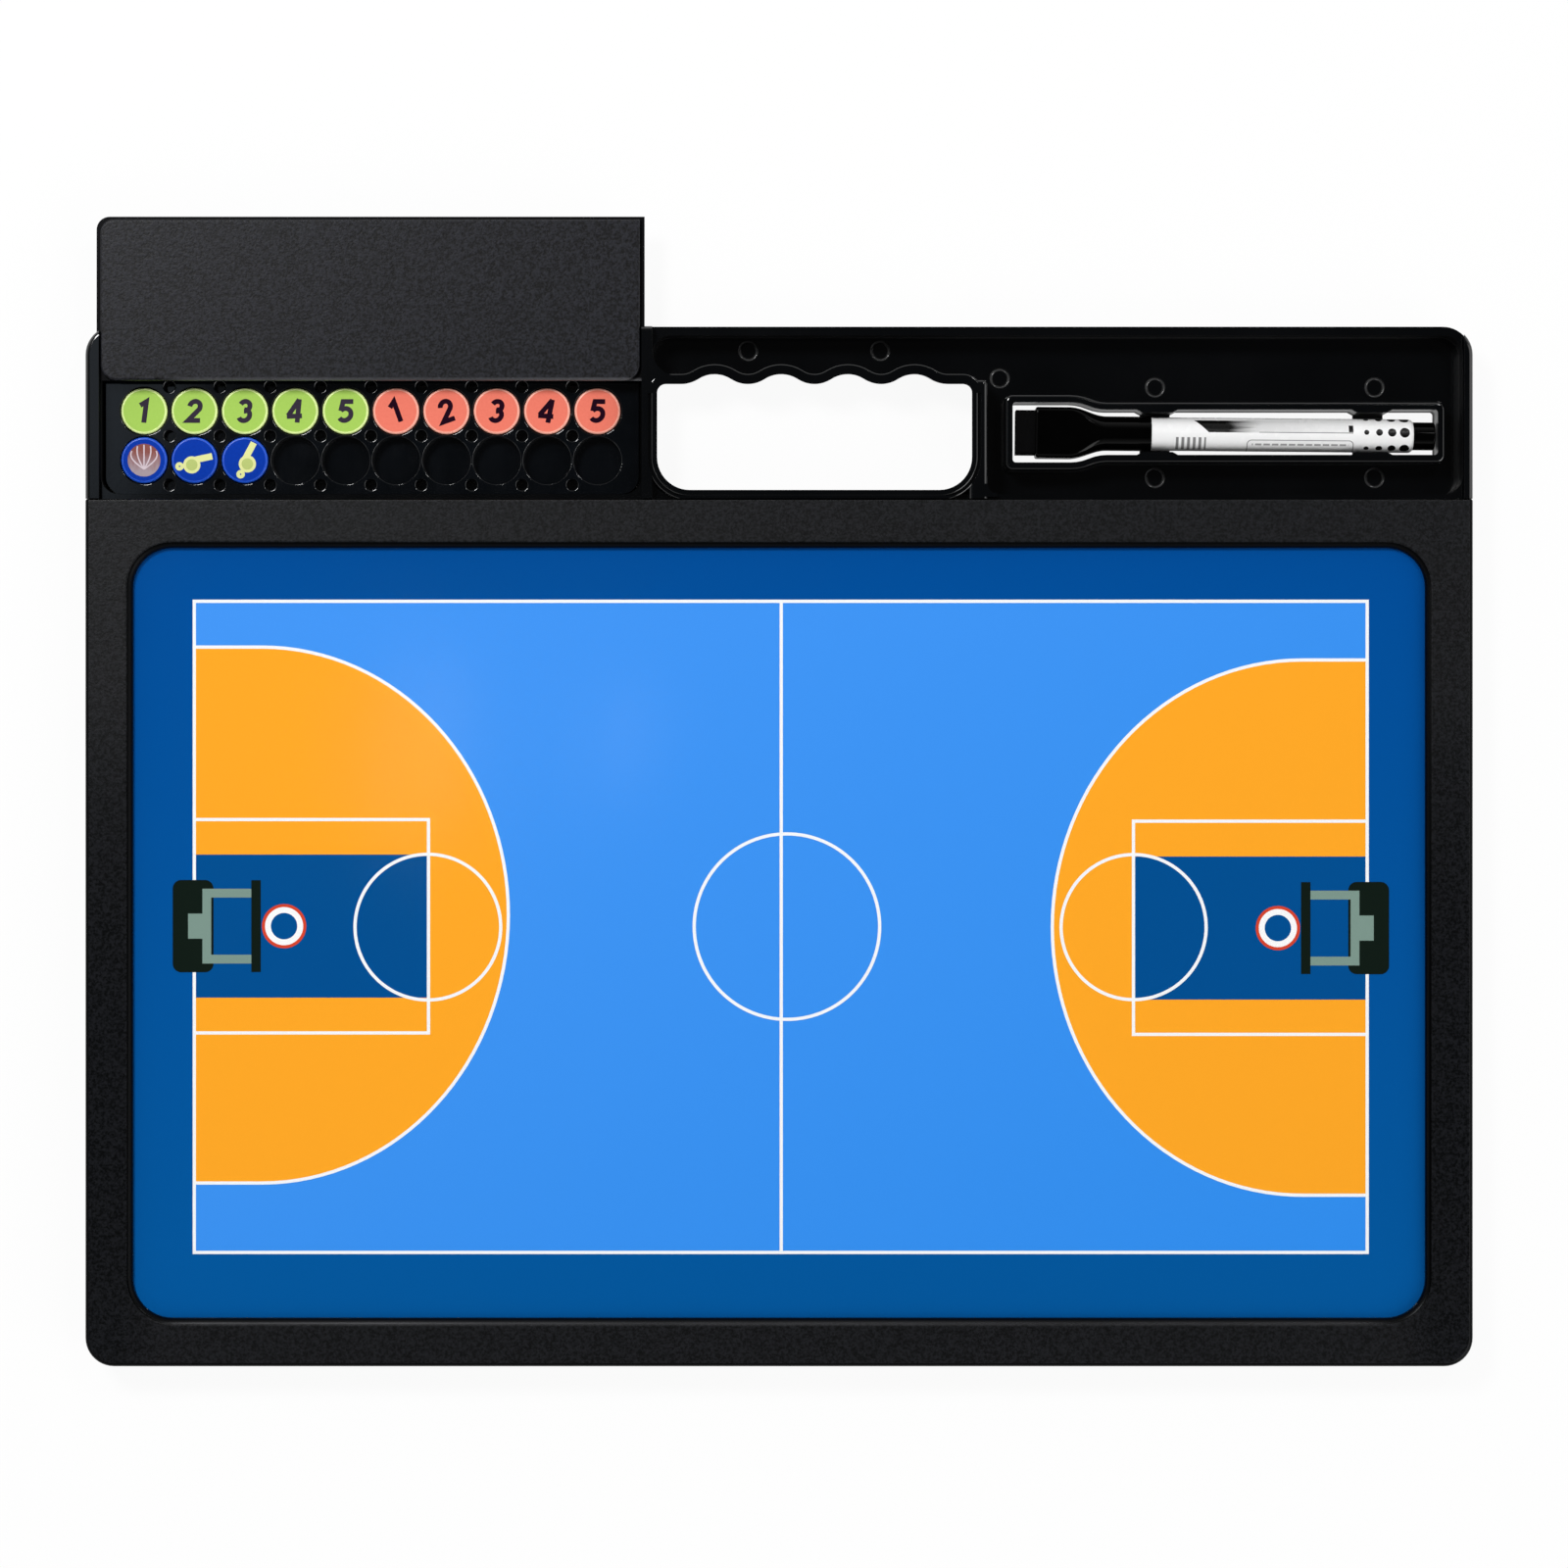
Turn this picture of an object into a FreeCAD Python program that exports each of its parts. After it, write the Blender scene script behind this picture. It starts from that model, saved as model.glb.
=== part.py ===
import FreeCAD
import Part
import math
import os

# A basketball coach's tactics board, lying on its back with the storage lid slid open.
# X runs along the case, Y up the case towards the grip, and Z out of the front face.
# The origin is the middle of the case's flat back. All sizes are in millimetres.

# Case: a rear shell, whose top band shows, and a front frame over the rest
CASE_DEPTH = 16.0
CASE_CORNER = 8.8
BACK_EDGE = 2.0        # rounding along the back
FLOOR = 2.4            # back wall of the shell
SIDE_WALL = 2.2        # outer walls of shell and frame
PARTING = 8.0          # height where the shell's side walls meet the frame's
LEFT_RIM = 4.25
RIGHT_RIM = 2.65
TOP_RIM = 2.6
SEAM_WALL = 1.6        # low wall between the top band and the frame
SEAM_GAP = 0.2         # joint line between the top band and the frame
BAY_CORNER = 5.6
EDGE_BREAK = 0.6       # small rounding on standing walls

# Front frame and its window
SIDE_BEZEL = 14.55
TOP_BEZEL = 15.05
BOTTOM_BEZEL = 14.8
WINDOW_HEIGHT = 235.95
WINDOW_CORNER = 12.0
WINDOW_EDGE = 2.2      # rounding of the window's edge
FRAME_EDGE = 1.5       # rounding of the case's outer edge at the front
FRAME_PLATE = 2.6

# Writing panel: steel sheet, printed sheet and clear film, clamped under the bezel
STEEL = 0.5
PRINT = 0.3
FILM = 0.4
PANEL_CORNER = 4.0
PANEL_CLEAR = 0.8      # between the panel's edge and the screw bosses
RIB = 1.8
RIB_PITCH = 40.0       # widest spacing of the ribs that carry the panel
RIB_INSET = 0.5        # outermost rib, inside the panel's edge

# Case screws, driven from the back
SCREW_DIA = 2.9
SCREW_LENGTH = 9.5
HEAD_DIA = 5.4
HEAD_HEIGHT = 1.9
HEAD_SINK = 0.3
HEAD_CLEAR = 0.3
SHANK_CLEAR = 0.2
PILOT_CLEAR = 0.05
PILOT_SPARE = 0.4      # empty end of the pilot hole
SLOT_LENGTH = 3.2      # cross recess in the head
SLOT_WIDTH = 0.6
SLOT_DEPTH = 1.0
BOSS_DIA = 7.0
BOSS_BITE = 0.3        # how far a boss runs into the side wall

# Carrying grip
FINGERS = 4
FINGER_PITCH = 20.4
FINGER_DEPTH = 3.0
GRIP_END = 7.4         # flat stretch and corner beside the last finger ridge
GRIP_HEIGHT = 33.9     # from the sill to the middle of the finger wave
GRIP_BAR = 16.4        # from the middle of the finger wave to the top edge
GRIP_SILL = 2.65
GRIP_CORNER = 10.0
GRIP_TOP_CORNER = 2.7
GRIP_DRAFT = 1.5       # how much further each side of the opening lies at the back
GRIP_RAIL = 3.2        # standing wall over the finger wave
SIDE_RAIL = 1.9        # standing wall beside the opening
RAIL_GROOVE = 0.9      # groove between that wall and the guides
RAIL_STEP = 1.0        # depth of that groove
GUIDE = 4.8            # standing guide for a lid, each side of the opening
GUIDE_EDGE = 1.3       # rounding of the right guide's top
RAIL_NOOK = 8.0        # filled corner between the wave's wall and the lid's guide
GUIDE_NOOK = 3.0       # filled corner at the foot of the right guide

# Tokens and the tray that holds them
TOKEN_DIA = 14.2
TOKEN_HEIGHT = 5.0
TOKEN_EDGE = 0.6
LABEL_DIA = 12.8
LABEL = 0.2
MAGNET_DIA = 11.2
MAGNET = 2.8
COLUMNS = 10
ROWS = 2
POCKET_CLEAR = 0.3
POCKET_DEPTH = 4.5
POCKET_EDGE = 0.25     # rounding of the pockets' rims
POCKET_SEAT = 0.1      # running gap under a token
COLUMN_WEB = 0.7       # wall between neighbouring pockets along a row
ROW_WEB = 0.32         # and between the rows
CORE_DIA = 3.4         # small holes between the pockets
CORE_EDGE = 0.4
TRAY_HEIGHT = 6.0
TRAY_SIDE_GAP = 1.1
TRAY_END_GAP = 0.3
BAY_LEFT = 12.9        # from the rim to the first pocket's middle
BAY_RIGHT = 13.75      # from the last pocket's middle to the lid's guide
BAY_FOOT = 12.25       # from the seam to the lower row's middle

# Storage lid, a plate that runs in two grooves, with a raised pad
LID_PLATE = 1.6
LID_PAD = 1.8
LID_TONGUE = 0.9       # how far the plate reaches into each groove
LID_CLEAR = 0.3
LID_PAD_GAP = 0.5      # between the pad and the groove's lip
LID_END_GAP = 0.25     # between the closed lid and the frame
LID_SHORT = 2.45       # the closed lid's edge, below the top of the case
LID_OPEN = 36.0        # how far the lid stands open
LID_CORNER = 4.8
LID_TOP_CORNER = 4.0
LID_STEP = 1.0         # plate showing past the pad at the top
LID_EDGE = 0.7
LID_WALL = 2.0

# Marker pen, along X from its felt end to its tail
BARREL_DIA = 10.3
BARREL_BORE = 8.8
BARREL_LENGTH = 80.9
BARREL_END = 1.8
CAP_NECK_DIA = 10.6
CAP_NECK_LENGTH = 13.8
CAP_TAPER_LENGTH = 11.2
CAP_HEAD_LENGTH = 10.6
CAP_HEAD_WIDTH = 15.6
CAP_HEAD_THICK = 9.4
CAP_HEAD_CORNER = 1.6
CAP_BORE = 8.4
CAP_BORE_PAST = 2.0    # how far the bore runs on into the taper
CAP_EDGE = 0.7
FELT_LENGTH = 6.05
FELT_WIDTH = 13.6
FELT_THICK = 8.0
FELT_CORNER = 1.0
FELT_TONGUE = 3.0      # part of the felt inside the cap
FELT_STEP = 0.8
PLUG_LENGTH = 6.4
PLUG_SPIGOT = 6.0
PLUG_EDGE = 0.5
PEN_FIT = 0.1          # clearance of the pieces inside the barrel
HOLDER_LENGTH = 8.0
SNOUT_DIA = 6.6
SNOUT_LENGTH = 7.6
NIB_DIA = 3.8
NIB_SHOWING = 5.0      # nib in front of the snout
NIB_TAIL = 5.0         # nib inside the ink core
CORE_ROD_DIA = 8.1

# Pen bay: an opening that follows the marker, with a wall and two clips
PEN_SEAM = 20.6        # from the seam to the opening's middle line
PEN_REST = 0.35        # how far below that line the marker lies
PEN_TILT = 0.5         # and how far askew, in degrees
PEN_LIFT = 0.3         # between the saddles and the barrel
PEN_BAY_START = 7.85   # from the lid's guide to the opening
PEN_BAY_END = 7.7      # from the opening to the right rim
PEN_HEAD_GAP = 1.05
PEN_TAIL_GAP = 0.5
PEN_SIDE_GAP = 1.8     # beside the barrel
HEAD_SIDE_GAP = 1.45   # beside the cap's head
PEN_WALL = 2.5
PEN_EDGE = 1.2         # rounding of that wall's top
PEN_CORNER = 1.0
CLIP_LENGTH = 12.6
CLIP_RAMP = 1.7
CLIP_CLEAR = 0.9
CLIP_FRONT = 1.75      # first clip, behind the front of the barrel
CLIP_BACK = 13.3       # second clip, ahead of the barrel's tail
SADDLE = 1.6

# Round marks that the mould's ejector pins leave on the shell's floor
MARK_DIA = 5.4
MARK_GROOVE = 0.55     # round groove, half its width
MARK_TOP = 6.45        # from the top edge, over the grip
MARK_SIDE = 14.0       # either side of the marker's bay
MARK_RISE = 0.65       # middle of those pairs, above the bay's middle line
MARK_BACK = 11.3       # last pair, ahead of the barrel's tail
MARK_GUIDE = 4.3       # beside the guide's top end

# Places along X, from the left edge of the case
column_pitch = TOKEN_DIA + 2 * POCKET_CLEAR + COLUMN_WEB
row_pitch = TOKEN_DIA + 2 * POCKET_CLEAR + ROW_WEB
grip_length = FINGERS * FINGER_PITCH + 2 * GRIP_END
marker_length = (FELT_LENGTH + CAP_HEAD_LENGTH + CAP_TAPER_LENGTH + CAP_NECK_LENGTH
                 + BARREL_LENGTH + PLUG_LENGTH)
bay_width = BAY_LEFT + (COLUMNS - 1) * column_pitch + BAY_RIGHT
pen_length = PEN_HEAD_GAP + marker_length + PEN_TAIL_GAP
case_width = (LEFT_RIM + bay_width + GUIDE + grip_length + GUIDE
              + PEN_BAY_START + pen_length + PEN_BAY_END + RIGHT_RIM)
left_x = -case_width / 2
right_x = case_width / 2
bay_x0 = left_x + LEFT_RIM
bay_x1 = bay_x0 + bay_width
grip_x0 = bay_x1 + GUIDE
grip_x1 = grip_x0 + grip_length
grip_x = (grip_x0 + grip_x1) / 2
guide_x = grip_x1 + GUIDE
pen_x0 = guide_x + PEN_BAY_START
pen_x1 = pen_x0 + pen_length
rim_x = right_x - RIGHT_RIM
first_column = bay_x0 + BAY_LEFT

# Stations along the marker
felt_x = pen_x0 + PEN_HEAD_GAP
head_x = felt_x + FELT_LENGTH
taper_x = head_x + CAP_HEAD_LENGTH
neck_x = taper_x + CAP_TAPER_LENGTH
barrel_x = neck_x + CAP_NECK_LENGTH
tail_x = barrel_x + BARREL_LENGTH
end_x = tail_x + PLUG_LENGTH
clip_middles = (barrel_x + CLIP_FRONT, tail_x - CLIP_BACK)

# Places along Y, from the bottom edge of the case
band_height = GRIP_SILL + GRIP_HEIGHT + GRIP_BAR
case_height = BOTTOM_BEZEL + WINDOW_HEIGHT + TOP_BEZEL + band_height
bottom_y = -case_height / 2
window_y0 = bottom_y + BOTTOM_BEZEL
window_y1 = window_y0 + WINDOW_HEIGHT
seam_y = window_y1 + TOP_BEZEL
top_y = seam_y + band_height
band_y = seam_y + SEAM_GAP / 2
frame_y = seam_y - SEAM_GAP / 2
bay_y0 = seam_y + SEAM_WALL
bay_y1 = top_y - TOP_RIM
row_y = seam_y + BAY_FOOT
wave_y = seam_y + GRIP_SILL + GRIP_HEIGHT
pen_bay_y = seam_y + PEN_SEAM
pen_y = pen_bay_y - PEN_REST
window_x = right_x - SIDE_BEZEL

# The panel lies inside the ring of screw bosses
wall_reach = SIDE_WALL - BOSS_BITE + BOSS_DIA / 2
panel_reach = wall_reach + BOSS_DIA / 2 + PANEL_CLEAR
boss_x = right_x - wall_reach
boss_y0 = bottom_y + wall_reach
boss_y1 = frame_y - wall_reach
panel_x = right_x - panel_reach
panel_y0 = bottom_y + panel_reach
panel_y1 = frame_y - panel_reach

# Levels along Z, from the back
plate_z = CASE_DEPTH - FRAME_PLATE
film_z = plate_z - FILM
print_z = film_z - PRINT
steel_z = print_z - STEEL
lid_z = CASE_DEPTH - LID_PAD - LID_PLATE
low_wall_z = lid_z - LID_CLEAR
tray_z = FLOOR + TRAY_HEIGHT
token_z = tray_z - POCKET_DEPTH + POCKET_SEAT
pen_z = SADDLE + PEN_LIFT + BARREL_DIA / 2
head_ledge_z = HEAD_SINK + HEAD_HEIGHT
screw_end_z = head_ledge_z + SCREW_LENGTH

OVER = 1.0             # how far a cutting shape runs past what it cuts
SAME = 1e-6            # places closer than this are one place
LOFT_FLAT = 0.05       # flats left on a round section, so that it lofts to a square one


def vec(x, y, z=0.0):
    return FreeCAD.Vector(x, y, z)


def block(x0, x1, y0, y1, z0, z1):
    return Part.makeBox(x1 - x0, y1 - y0, z1 - z0, vec(x0, y0, z0))


def round_corners(shape, radius, chosen=None):
    """Rounds the upright edges of a shape, or those that pass the test chosen(x, y)."""
    edges = []
    for edge in shape.Edges:
        box = edge.BoundBox
        upright = box.XLength + box.YLength < SAME
        if upright and (chosen is None or chosen(box.XMin, box.YMin)):
            edges.append(edge)
    return shape.makeFillet(radius, edges)


def round_level(shape, radius, level, chosen=None):
    """Rounds the edges that lie flat at one height, or those that pass the test chosen(box)."""
    edges = []
    for edge in shape.Edges:
        box = edge.BoundBox
        flat = abs(box.ZMin - level) < SAME and abs(box.ZMax - level) < SAME
        if flat and (chosen is None or chosen(box)):
            edges.append(edge)
    return shape.makeFillet(radius, edges)


def round_block(x0, x1, y0, y1, z0, z1, corner):
    return round_corners(block(x0, x1, y0, y1, z0, z1), corner)


def disc(x, y, z0, z1, dia):
    return Part.makeCylinder(dia / 2, z1 - z0, vec(x, y, z0))


def flare(x, y, z, dia, edge):
    """What is cut away round the rim of a hole, to leave a rounded edge."""
    ring = disc(x, y, z - edge, z + OVER, dia + 2 * edge)
    return ring.cut(Part.makeTorus(dia / 2 + edge, edge, vec(x, y, z - edge)))


def nook(x, y, radius):
    """Fills an inside corner, whose walls run up and to the right from x, y, with a hollow curve."""
    filled = block(x - OVER, x + radius, y - OVER, y + radius, 0, CASE_DEPTH)
    return filled.cut(disc(x + radius, y + radius, -OVER, CASE_DEPTH + OVER, 2 * radius))


def pen_rod(x0, x1, dia):
    """A round length of the marker, about its axis."""
    return Part.makeCylinder(dia / 2, x1 - x0, vec(x0, pen_y, pen_z), vec(1, 0, 0))


def line(p, q):
    return Part.LineSegment(p, q).toShape()


def arc(p, through, q):
    return Part.Arc(p, through, q).toShape()


def corner_arc(p, corner, q):
    """A quarter circle from p to q, inside the given corner."""
    centre = p + q - corner
    return arc(p, centre + (corner - centre) * math.sqrt(0.5), q)


def s_bend(p, q):
    """Two equal arcs from p to q that start and end along X."""
    along = (q.x - p.x) / 2
    rise = (q.y - p.y) / 2
    radius = (along ** 2 + rise ** 2) / (2 * abs(rise))
    half = math.asin(abs(along) / radius) / 2
    step = vec(math.copysign(radius * math.sin(half), along),
               math.copysign(radius * (1 - math.cos(half)), rise))
    middle = (p + q) * 0.5
    return [arc(p, p + step, middle), arc(middle, q - step, q)]


def prism(edges, z0, z1):
    """Stands a closed outline up between two heights."""
    wire = Part.Wire(edges)
    wire.translate(vec(0, 0, z0))
    return Part.Face(wire).extrude(vec(0, 0, z1 - z0))


def widened(edges, by, z0, z1):
    """The same, with the outline moved outwards."""
    wire = Part.Wire(edges).makeOffset2D(by)
    return prism(wire.Edges, z0, z1)


def grip_outline(spread=0.0):
    """The hand opening: a sill with large corners below and a wave for four fingers above.

    Each side can be moved outwards by the same spread.
    """
    sill_y = seam_y + GRIP_SILL - spread
    crest_y = wave_y + spread
    ridge_y = crest_y - FINGER_DEPTH / 2
    groove_y = crest_y + FINGER_DEPTH / 2
    left = grip_x0 - spread
    right = grip_x1 + spread
    low_corner = GRIP_CORNER + spread
    high_corner = GRIP_TOP_CORNER + spread
    quarter = FINGER_PITCH / 4
    last_ridge = FINGERS * FINGER_PITCH / 2
    rise = FINGER_DEPTH / 2
    wave_radius = (quarter ** 2 + rise ** 2) / (2 * rise)
    half = math.asin(quarter / wave_radius) / 2
    half_step = vec(wave_radius * math.sin(half), wave_radius * (1 - math.cos(half)))

    # up the left side, round the corner and onto the first ridge
    left_low = vec(left, sill_y + low_corner)
    left_high = vec(left, ridge_y - high_corner)
    top_left = vec(left + high_corner, ridge_y)
    left_ridge = vec(grip_x - last_ridge, ridge_y)
    wave_start = vec(left_ridge.x + quarter, crest_y)
    edges = [line(left_low, left_high),
             corner_arc(left_high, vec(left, ridge_y), top_left),
             line(top_left, left_ridge),
             arc(left_ridge, left_ridge + half_step, wave_start)]
    # grooves and ridges in turn
    bends = 2 * FINGERS - 1
    for bend in range(bends):
        start = wave_start + vec(bend * FINGER_PITCH / 2, 0)
        finish = start + vec(FINGER_PITCH / 2, 0)
        top = groove_y if bend % 2 == 0 else ridge_y
        edges.append(arc(start, vec((start.x + finish.x) / 2, top), finish))
    # the last ridge, down the right side and back along the sill
    right_ridge = vec(grip_x + last_ridge, ridge_y)
    wave_end = vec(right_ridge.x - quarter, crest_y)
    top_right = vec(right - high_corner, ridge_y)
    right_high = vec(right, ridge_y - high_corner)
    right_low = vec(right, sill_y + low_corner)
    sill_right = vec(right - low_corner, sill_y)
    sill_left = vec(left + low_corner, sill_y)
    edges += [arc(wave_end, right_ridge + vec(-half_step.x, half_step.y), right_ridge),
              line(right_ridge, top_right),
              corner_arc(top_right, vec(right, ridge_y), right_high),
              line(right_high, right_low),
              corner_arc(right_low, vec(right, sill_y), sill_right),
              line(sill_right, sill_left),
              corner_arc(sill_left, vec(left, sill_y), left_low)]
    return edges


def grip_hole():
    """The opening itself, which widens towards the back so that it leaves its mould."""
    draft = GRIP_DRAFT / CASE_DEPTH
    ends = []
    for z in (-OVER, CASE_DEPTH + OVER):
        wire = Part.Wire(grip_outline((CASE_DEPTH - z) * draft))
        wire.translate(vec(0, 0, z))
        ends.append(wire)
    return Part.makeLoft(ends, True, True)


def rail_groove():
    """Groove that sets the standing wall beside the opening off from the guides."""
    reach = SIDE_RAIL + RAIL_GROOVE
    groove = widened(grip_outline(), reach, CASE_DEPTH - RAIL_STEP, CASE_DEPTH + OVER)
    sides = block(grip_x0 - reach, grip_x1 + reach, band_y + RAIL_GROOVE,
                  wave_y - FINGER_DEPTH / 2 - GRIP_TOP_CORNER, 0, CASE_DEPTH + OVER)
    return groove.common(sides)


def pen_outline():
    """The marker's opening: wide at the cap's head, narrow along the barrel."""
    wide = CAP_HEAD_WIDTH / 2 + HEAD_SIDE_GAP
    narrow = BARREL_DIA / 2 + PEN_SIDE_GAP
    head_low = vec(pen_x0, pen_bay_y - wide)
    taper_low = vec(taper_x, pen_bay_y - wide)
    neck_low = vec(neck_x, pen_bay_y - narrow)
    end_low = vec(pen_x1, pen_bay_y - narrow)
    end_high = vec(pen_x1, pen_bay_y + narrow)
    neck_high = vec(neck_x, pen_bay_y + narrow)
    taper_high = vec(taper_x, pen_bay_y + wide)
    head_high = vec(pen_x0, pen_bay_y + wide)
    return [line(head_low, taper_low), *s_bend(taper_low, neck_low), line(neck_low, end_low),
            line(end_low, end_high), line(end_high, neck_high), *s_bend(neck_high, taper_high),
            line(taper_high, head_high), line(head_high, head_low)]


def clip_jaws(middle):
    """Two jaws with sloped ends beside the barrel, and the saddle that carries it."""
    half = CLIP_LENGTH / 2
    narrow = BARREL_DIA / 2 + PEN_SIDE_GAP
    jaw = BARREL_DIA / 2 + CLIP_CLEAR
    root = narrow + PEN_WALL / 2
    shapes = []
    for side in (-1, 1):
        points = [vec(middle - half, pen_bay_y + side * root),
                  vec(middle - half, pen_bay_y + side * narrow),
                  vec(middle - half + CLIP_RAMP, pen_bay_y + side * jaw),
                  vec(middle + half - CLIP_RAMP, pen_bay_y + side * jaw),
                  vec(middle + half, pen_bay_y + side * narrow),
                  vec(middle + half, pen_bay_y + side * root)]
        edges = [line(p, q) for p, q in zip(points, points[1:] + points[:1])]
        shapes.append(prism(edges, 0, low_wall_z))
    shapes.append(block(middle - half + CLIP_RAMP, middle + half - CLIP_RAMP,
                        pen_bay_y - root, pen_bay_y + root, 0, SADDLE))
    return shapes


def boss_places():
    """Screw positions: three along the top and bottom bezels, two up each side."""
    places = []
    for step in (-1, 0, 1):
        places.append((step * 2 * panel_x / 3, boss_y0))
        places.append((step * 2 * panel_x / 3, boss_y1))
    middle = (panel_y0 + panel_y1) / 2
    for side in (-1, 1):
        for step in (-1, 1):
            places.append((side * boss_x, middle + step * (panel_y1 - panel_y0) / 4))
    return places


def rib_places(low, high):
    """Evenly spaced rib middles between two outermost ones."""
    cells = math.ceil((high - low) / RIB_PITCH)
    return [low + k * (high - low) / cells for k in range(cells + 1)]


def panel_ribs():
    """The grid of ribs under the writing panel."""
    inset = RIB_INSET + RIB / 2
    x0 = -panel_x + inset
    x1 = panel_x - inset
    y0 = panel_y0 + inset
    y1 = panel_y1 - inset
    ribs = []
    for x in rib_places(x0, x1):
        ribs.append(block(x - RIB / 2, x + RIB / 2, y0 - RIB / 2, y1 + RIB / 2, FLOOR - OVER, steel_z))
    for y in rib_places(y0, y1):
        ribs.append(block(x0 - RIB / 2, x1 + RIB / 2, y - RIB / 2, y + RIB / 2, FLOOR - OVER, steel_z))
    return ribs


def lid_groove(x0, x1):
    return block(x0, x1, band_y, top_y + OVER, lid_z - LID_CLEAR, lid_z + LID_PLATE + LID_CLEAR)


def ejector_marks():
    """Shallow round grooves on the floor: two over the grip, one by its guide, four round the clips."""
    places = [(grip_x - FINGER_PITCH, top_y - MARK_TOP),
              (grip_x + FINGER_PITCH, top_y - MARK_TOP),
              (guide_x + MARK_GUIDE, wave_y + FINGER_DEPTH / 2)]
    for x in (clip_middles[0], tail_x - MARK_BACK):
        for side in (-1, 1):
            places.append((x, pen_bay_y + MARK_RISE + side * MARK_SIDE))
    return [Part.makeTorus(MARK_DIA / 2, MARK_GROOVE, vec(x, y, FLOOR)) for x, y in places]


def rear_shell():
    """Back of the case, with the open top band: token bay, grip and pen bay."""
    shell = round_block(left_x, right_x, bottom_y, top_y, 0, CASE_DEPTH, CASE_CORNER)
    shell = round_level(shell, BACK_EDGE, 0)
    shell = round_level(shell, FRAME_EDGE, CASE_DEPTH)
    # below the seam only a tray with low side walls
    shell = shell.cut(block(left_x - OVER, right_x + OVER, bottom_y - OVER, band_y,
                            PARTING, CASE_DEPTH + OVER))
    shell = shell.cut(round_block(left_x + SIDE_WALL, right_x - SIDE_WALL, bottom_y + SIDE_WALL, band_y,
                                  FLOOR, CASE_DEPTH, CASE_CORNER - SIDE_WALL))
    # the token bay on the left, the grip and pen bay on the right of the lid's guide
    guide_x0 = bay_x1 + GRIP_RAIL
    shell = shell.cut(round_block(bay_x0, bay_x1, bay_y0, bay_y1, FLOOR, CASE_DEPTH + OVER, BAY_CORNER))
    shell = shell.cut(round_block(guide_x0, rim_x, bay_y0, bay_y1, FLOOR, CASE_DEPTH + OVER, BAY_CORNER))
    for x0, x1 in ((bay_x0, bay_x1), (guide_x0, rim_x)):
        shell = shell.cut(block(x0, x1, band_y - OVER, top_y + OVER, low_wall_z, CASE_DEPTH + OVER))
    # standing walls round the grip, its right-hand guide and the pen opening
    band = block(left_x, right_x, band_y, top_y, 0, CASE_DEPTH)
    rail = round_level(widened(grip_outline(), GRIP_RAIL, 0, CASE_DEPTH), EDGE_BREAK, CASE_DEPTH)
    side_rail = round_level(widened(grip_outline(), SIDE_RAIL, 0, CASE_DEPTH), EDGE_BREAK, CASE_DEPTH)
    guide = round_block(grip_x1 - OVER, guide_x, band_y - GRIP_RAIL, wave_y, 0, CASE_DEPTH, GRIP_RAIL / 2)
    guide = round_level(guide, GUIDE_EDGE, CASE_DEPTH)
    pen_wall = round_level(widened(pen_outline(), PEN_WALL, 0, low_wall_z), PEN_EDGE, low_wall_z)
    rail_foot = wave_y - FINGER_DEPTH / 2 + GRIP_RAIL - EDGE_BREAK
    shell = shell.fuse([rail.common(band), guide.common(band), pen_wall,
                        nook(guide_x0, rail_foot, RAIL_NOOK), nook(guide_x, bay_y0, GUIDE_NOOK)])
    shell = shell.cut(rail_groove()).fuse(side_rail.common(band)).cut(grip_hole())
    shell = shell.cut(round_corners(prism(pen_outline(), -OVER, CASE_DEPTH + OVER), PEN_CORNER,
                                    lambda x, y: min(abs(x - pen_x0), abs(x - pen_x1)) < SAME))
    for middle in clip_middles:
        shell = shell.fuse(clip_jaws(middle))
    # grooves for the lid, and the same pair for a cover over the pen bay
    reach = LID_TONGUE + LID_CLEAR
    for x0, x1 in ((bay_x0 - reach, bay_x0 + OVER), (bay_x1 - OVER, bay_x1 + reach),
                   (guide_x - reach, guide_x + OVER), (rim_x - OVER, rim_x + reach)):
        shell = shell.cut(lid_groove(x0, x1))
    # ribs under the panel and posts for the screws
    shell = shell.fuse(panel_ribs() + [disc(x, y, BACK_EDGE, PARTING, BOSS_DIA) for x, y in boss_places()])
    holes = []
    for x, y in boss_places():
        holes.append(disc(x, y, -OVER, head_ledge_z, HEAD_DIA + 2 * HEAD_CLEAR))
        holes.append(disc(x, y, -OVER, PARTING + OVER, SCREW_DIA + 2 * SHANK_CLEAR))
    return shell.cut(holes + ejector_marks()).removeSplitter()


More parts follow.
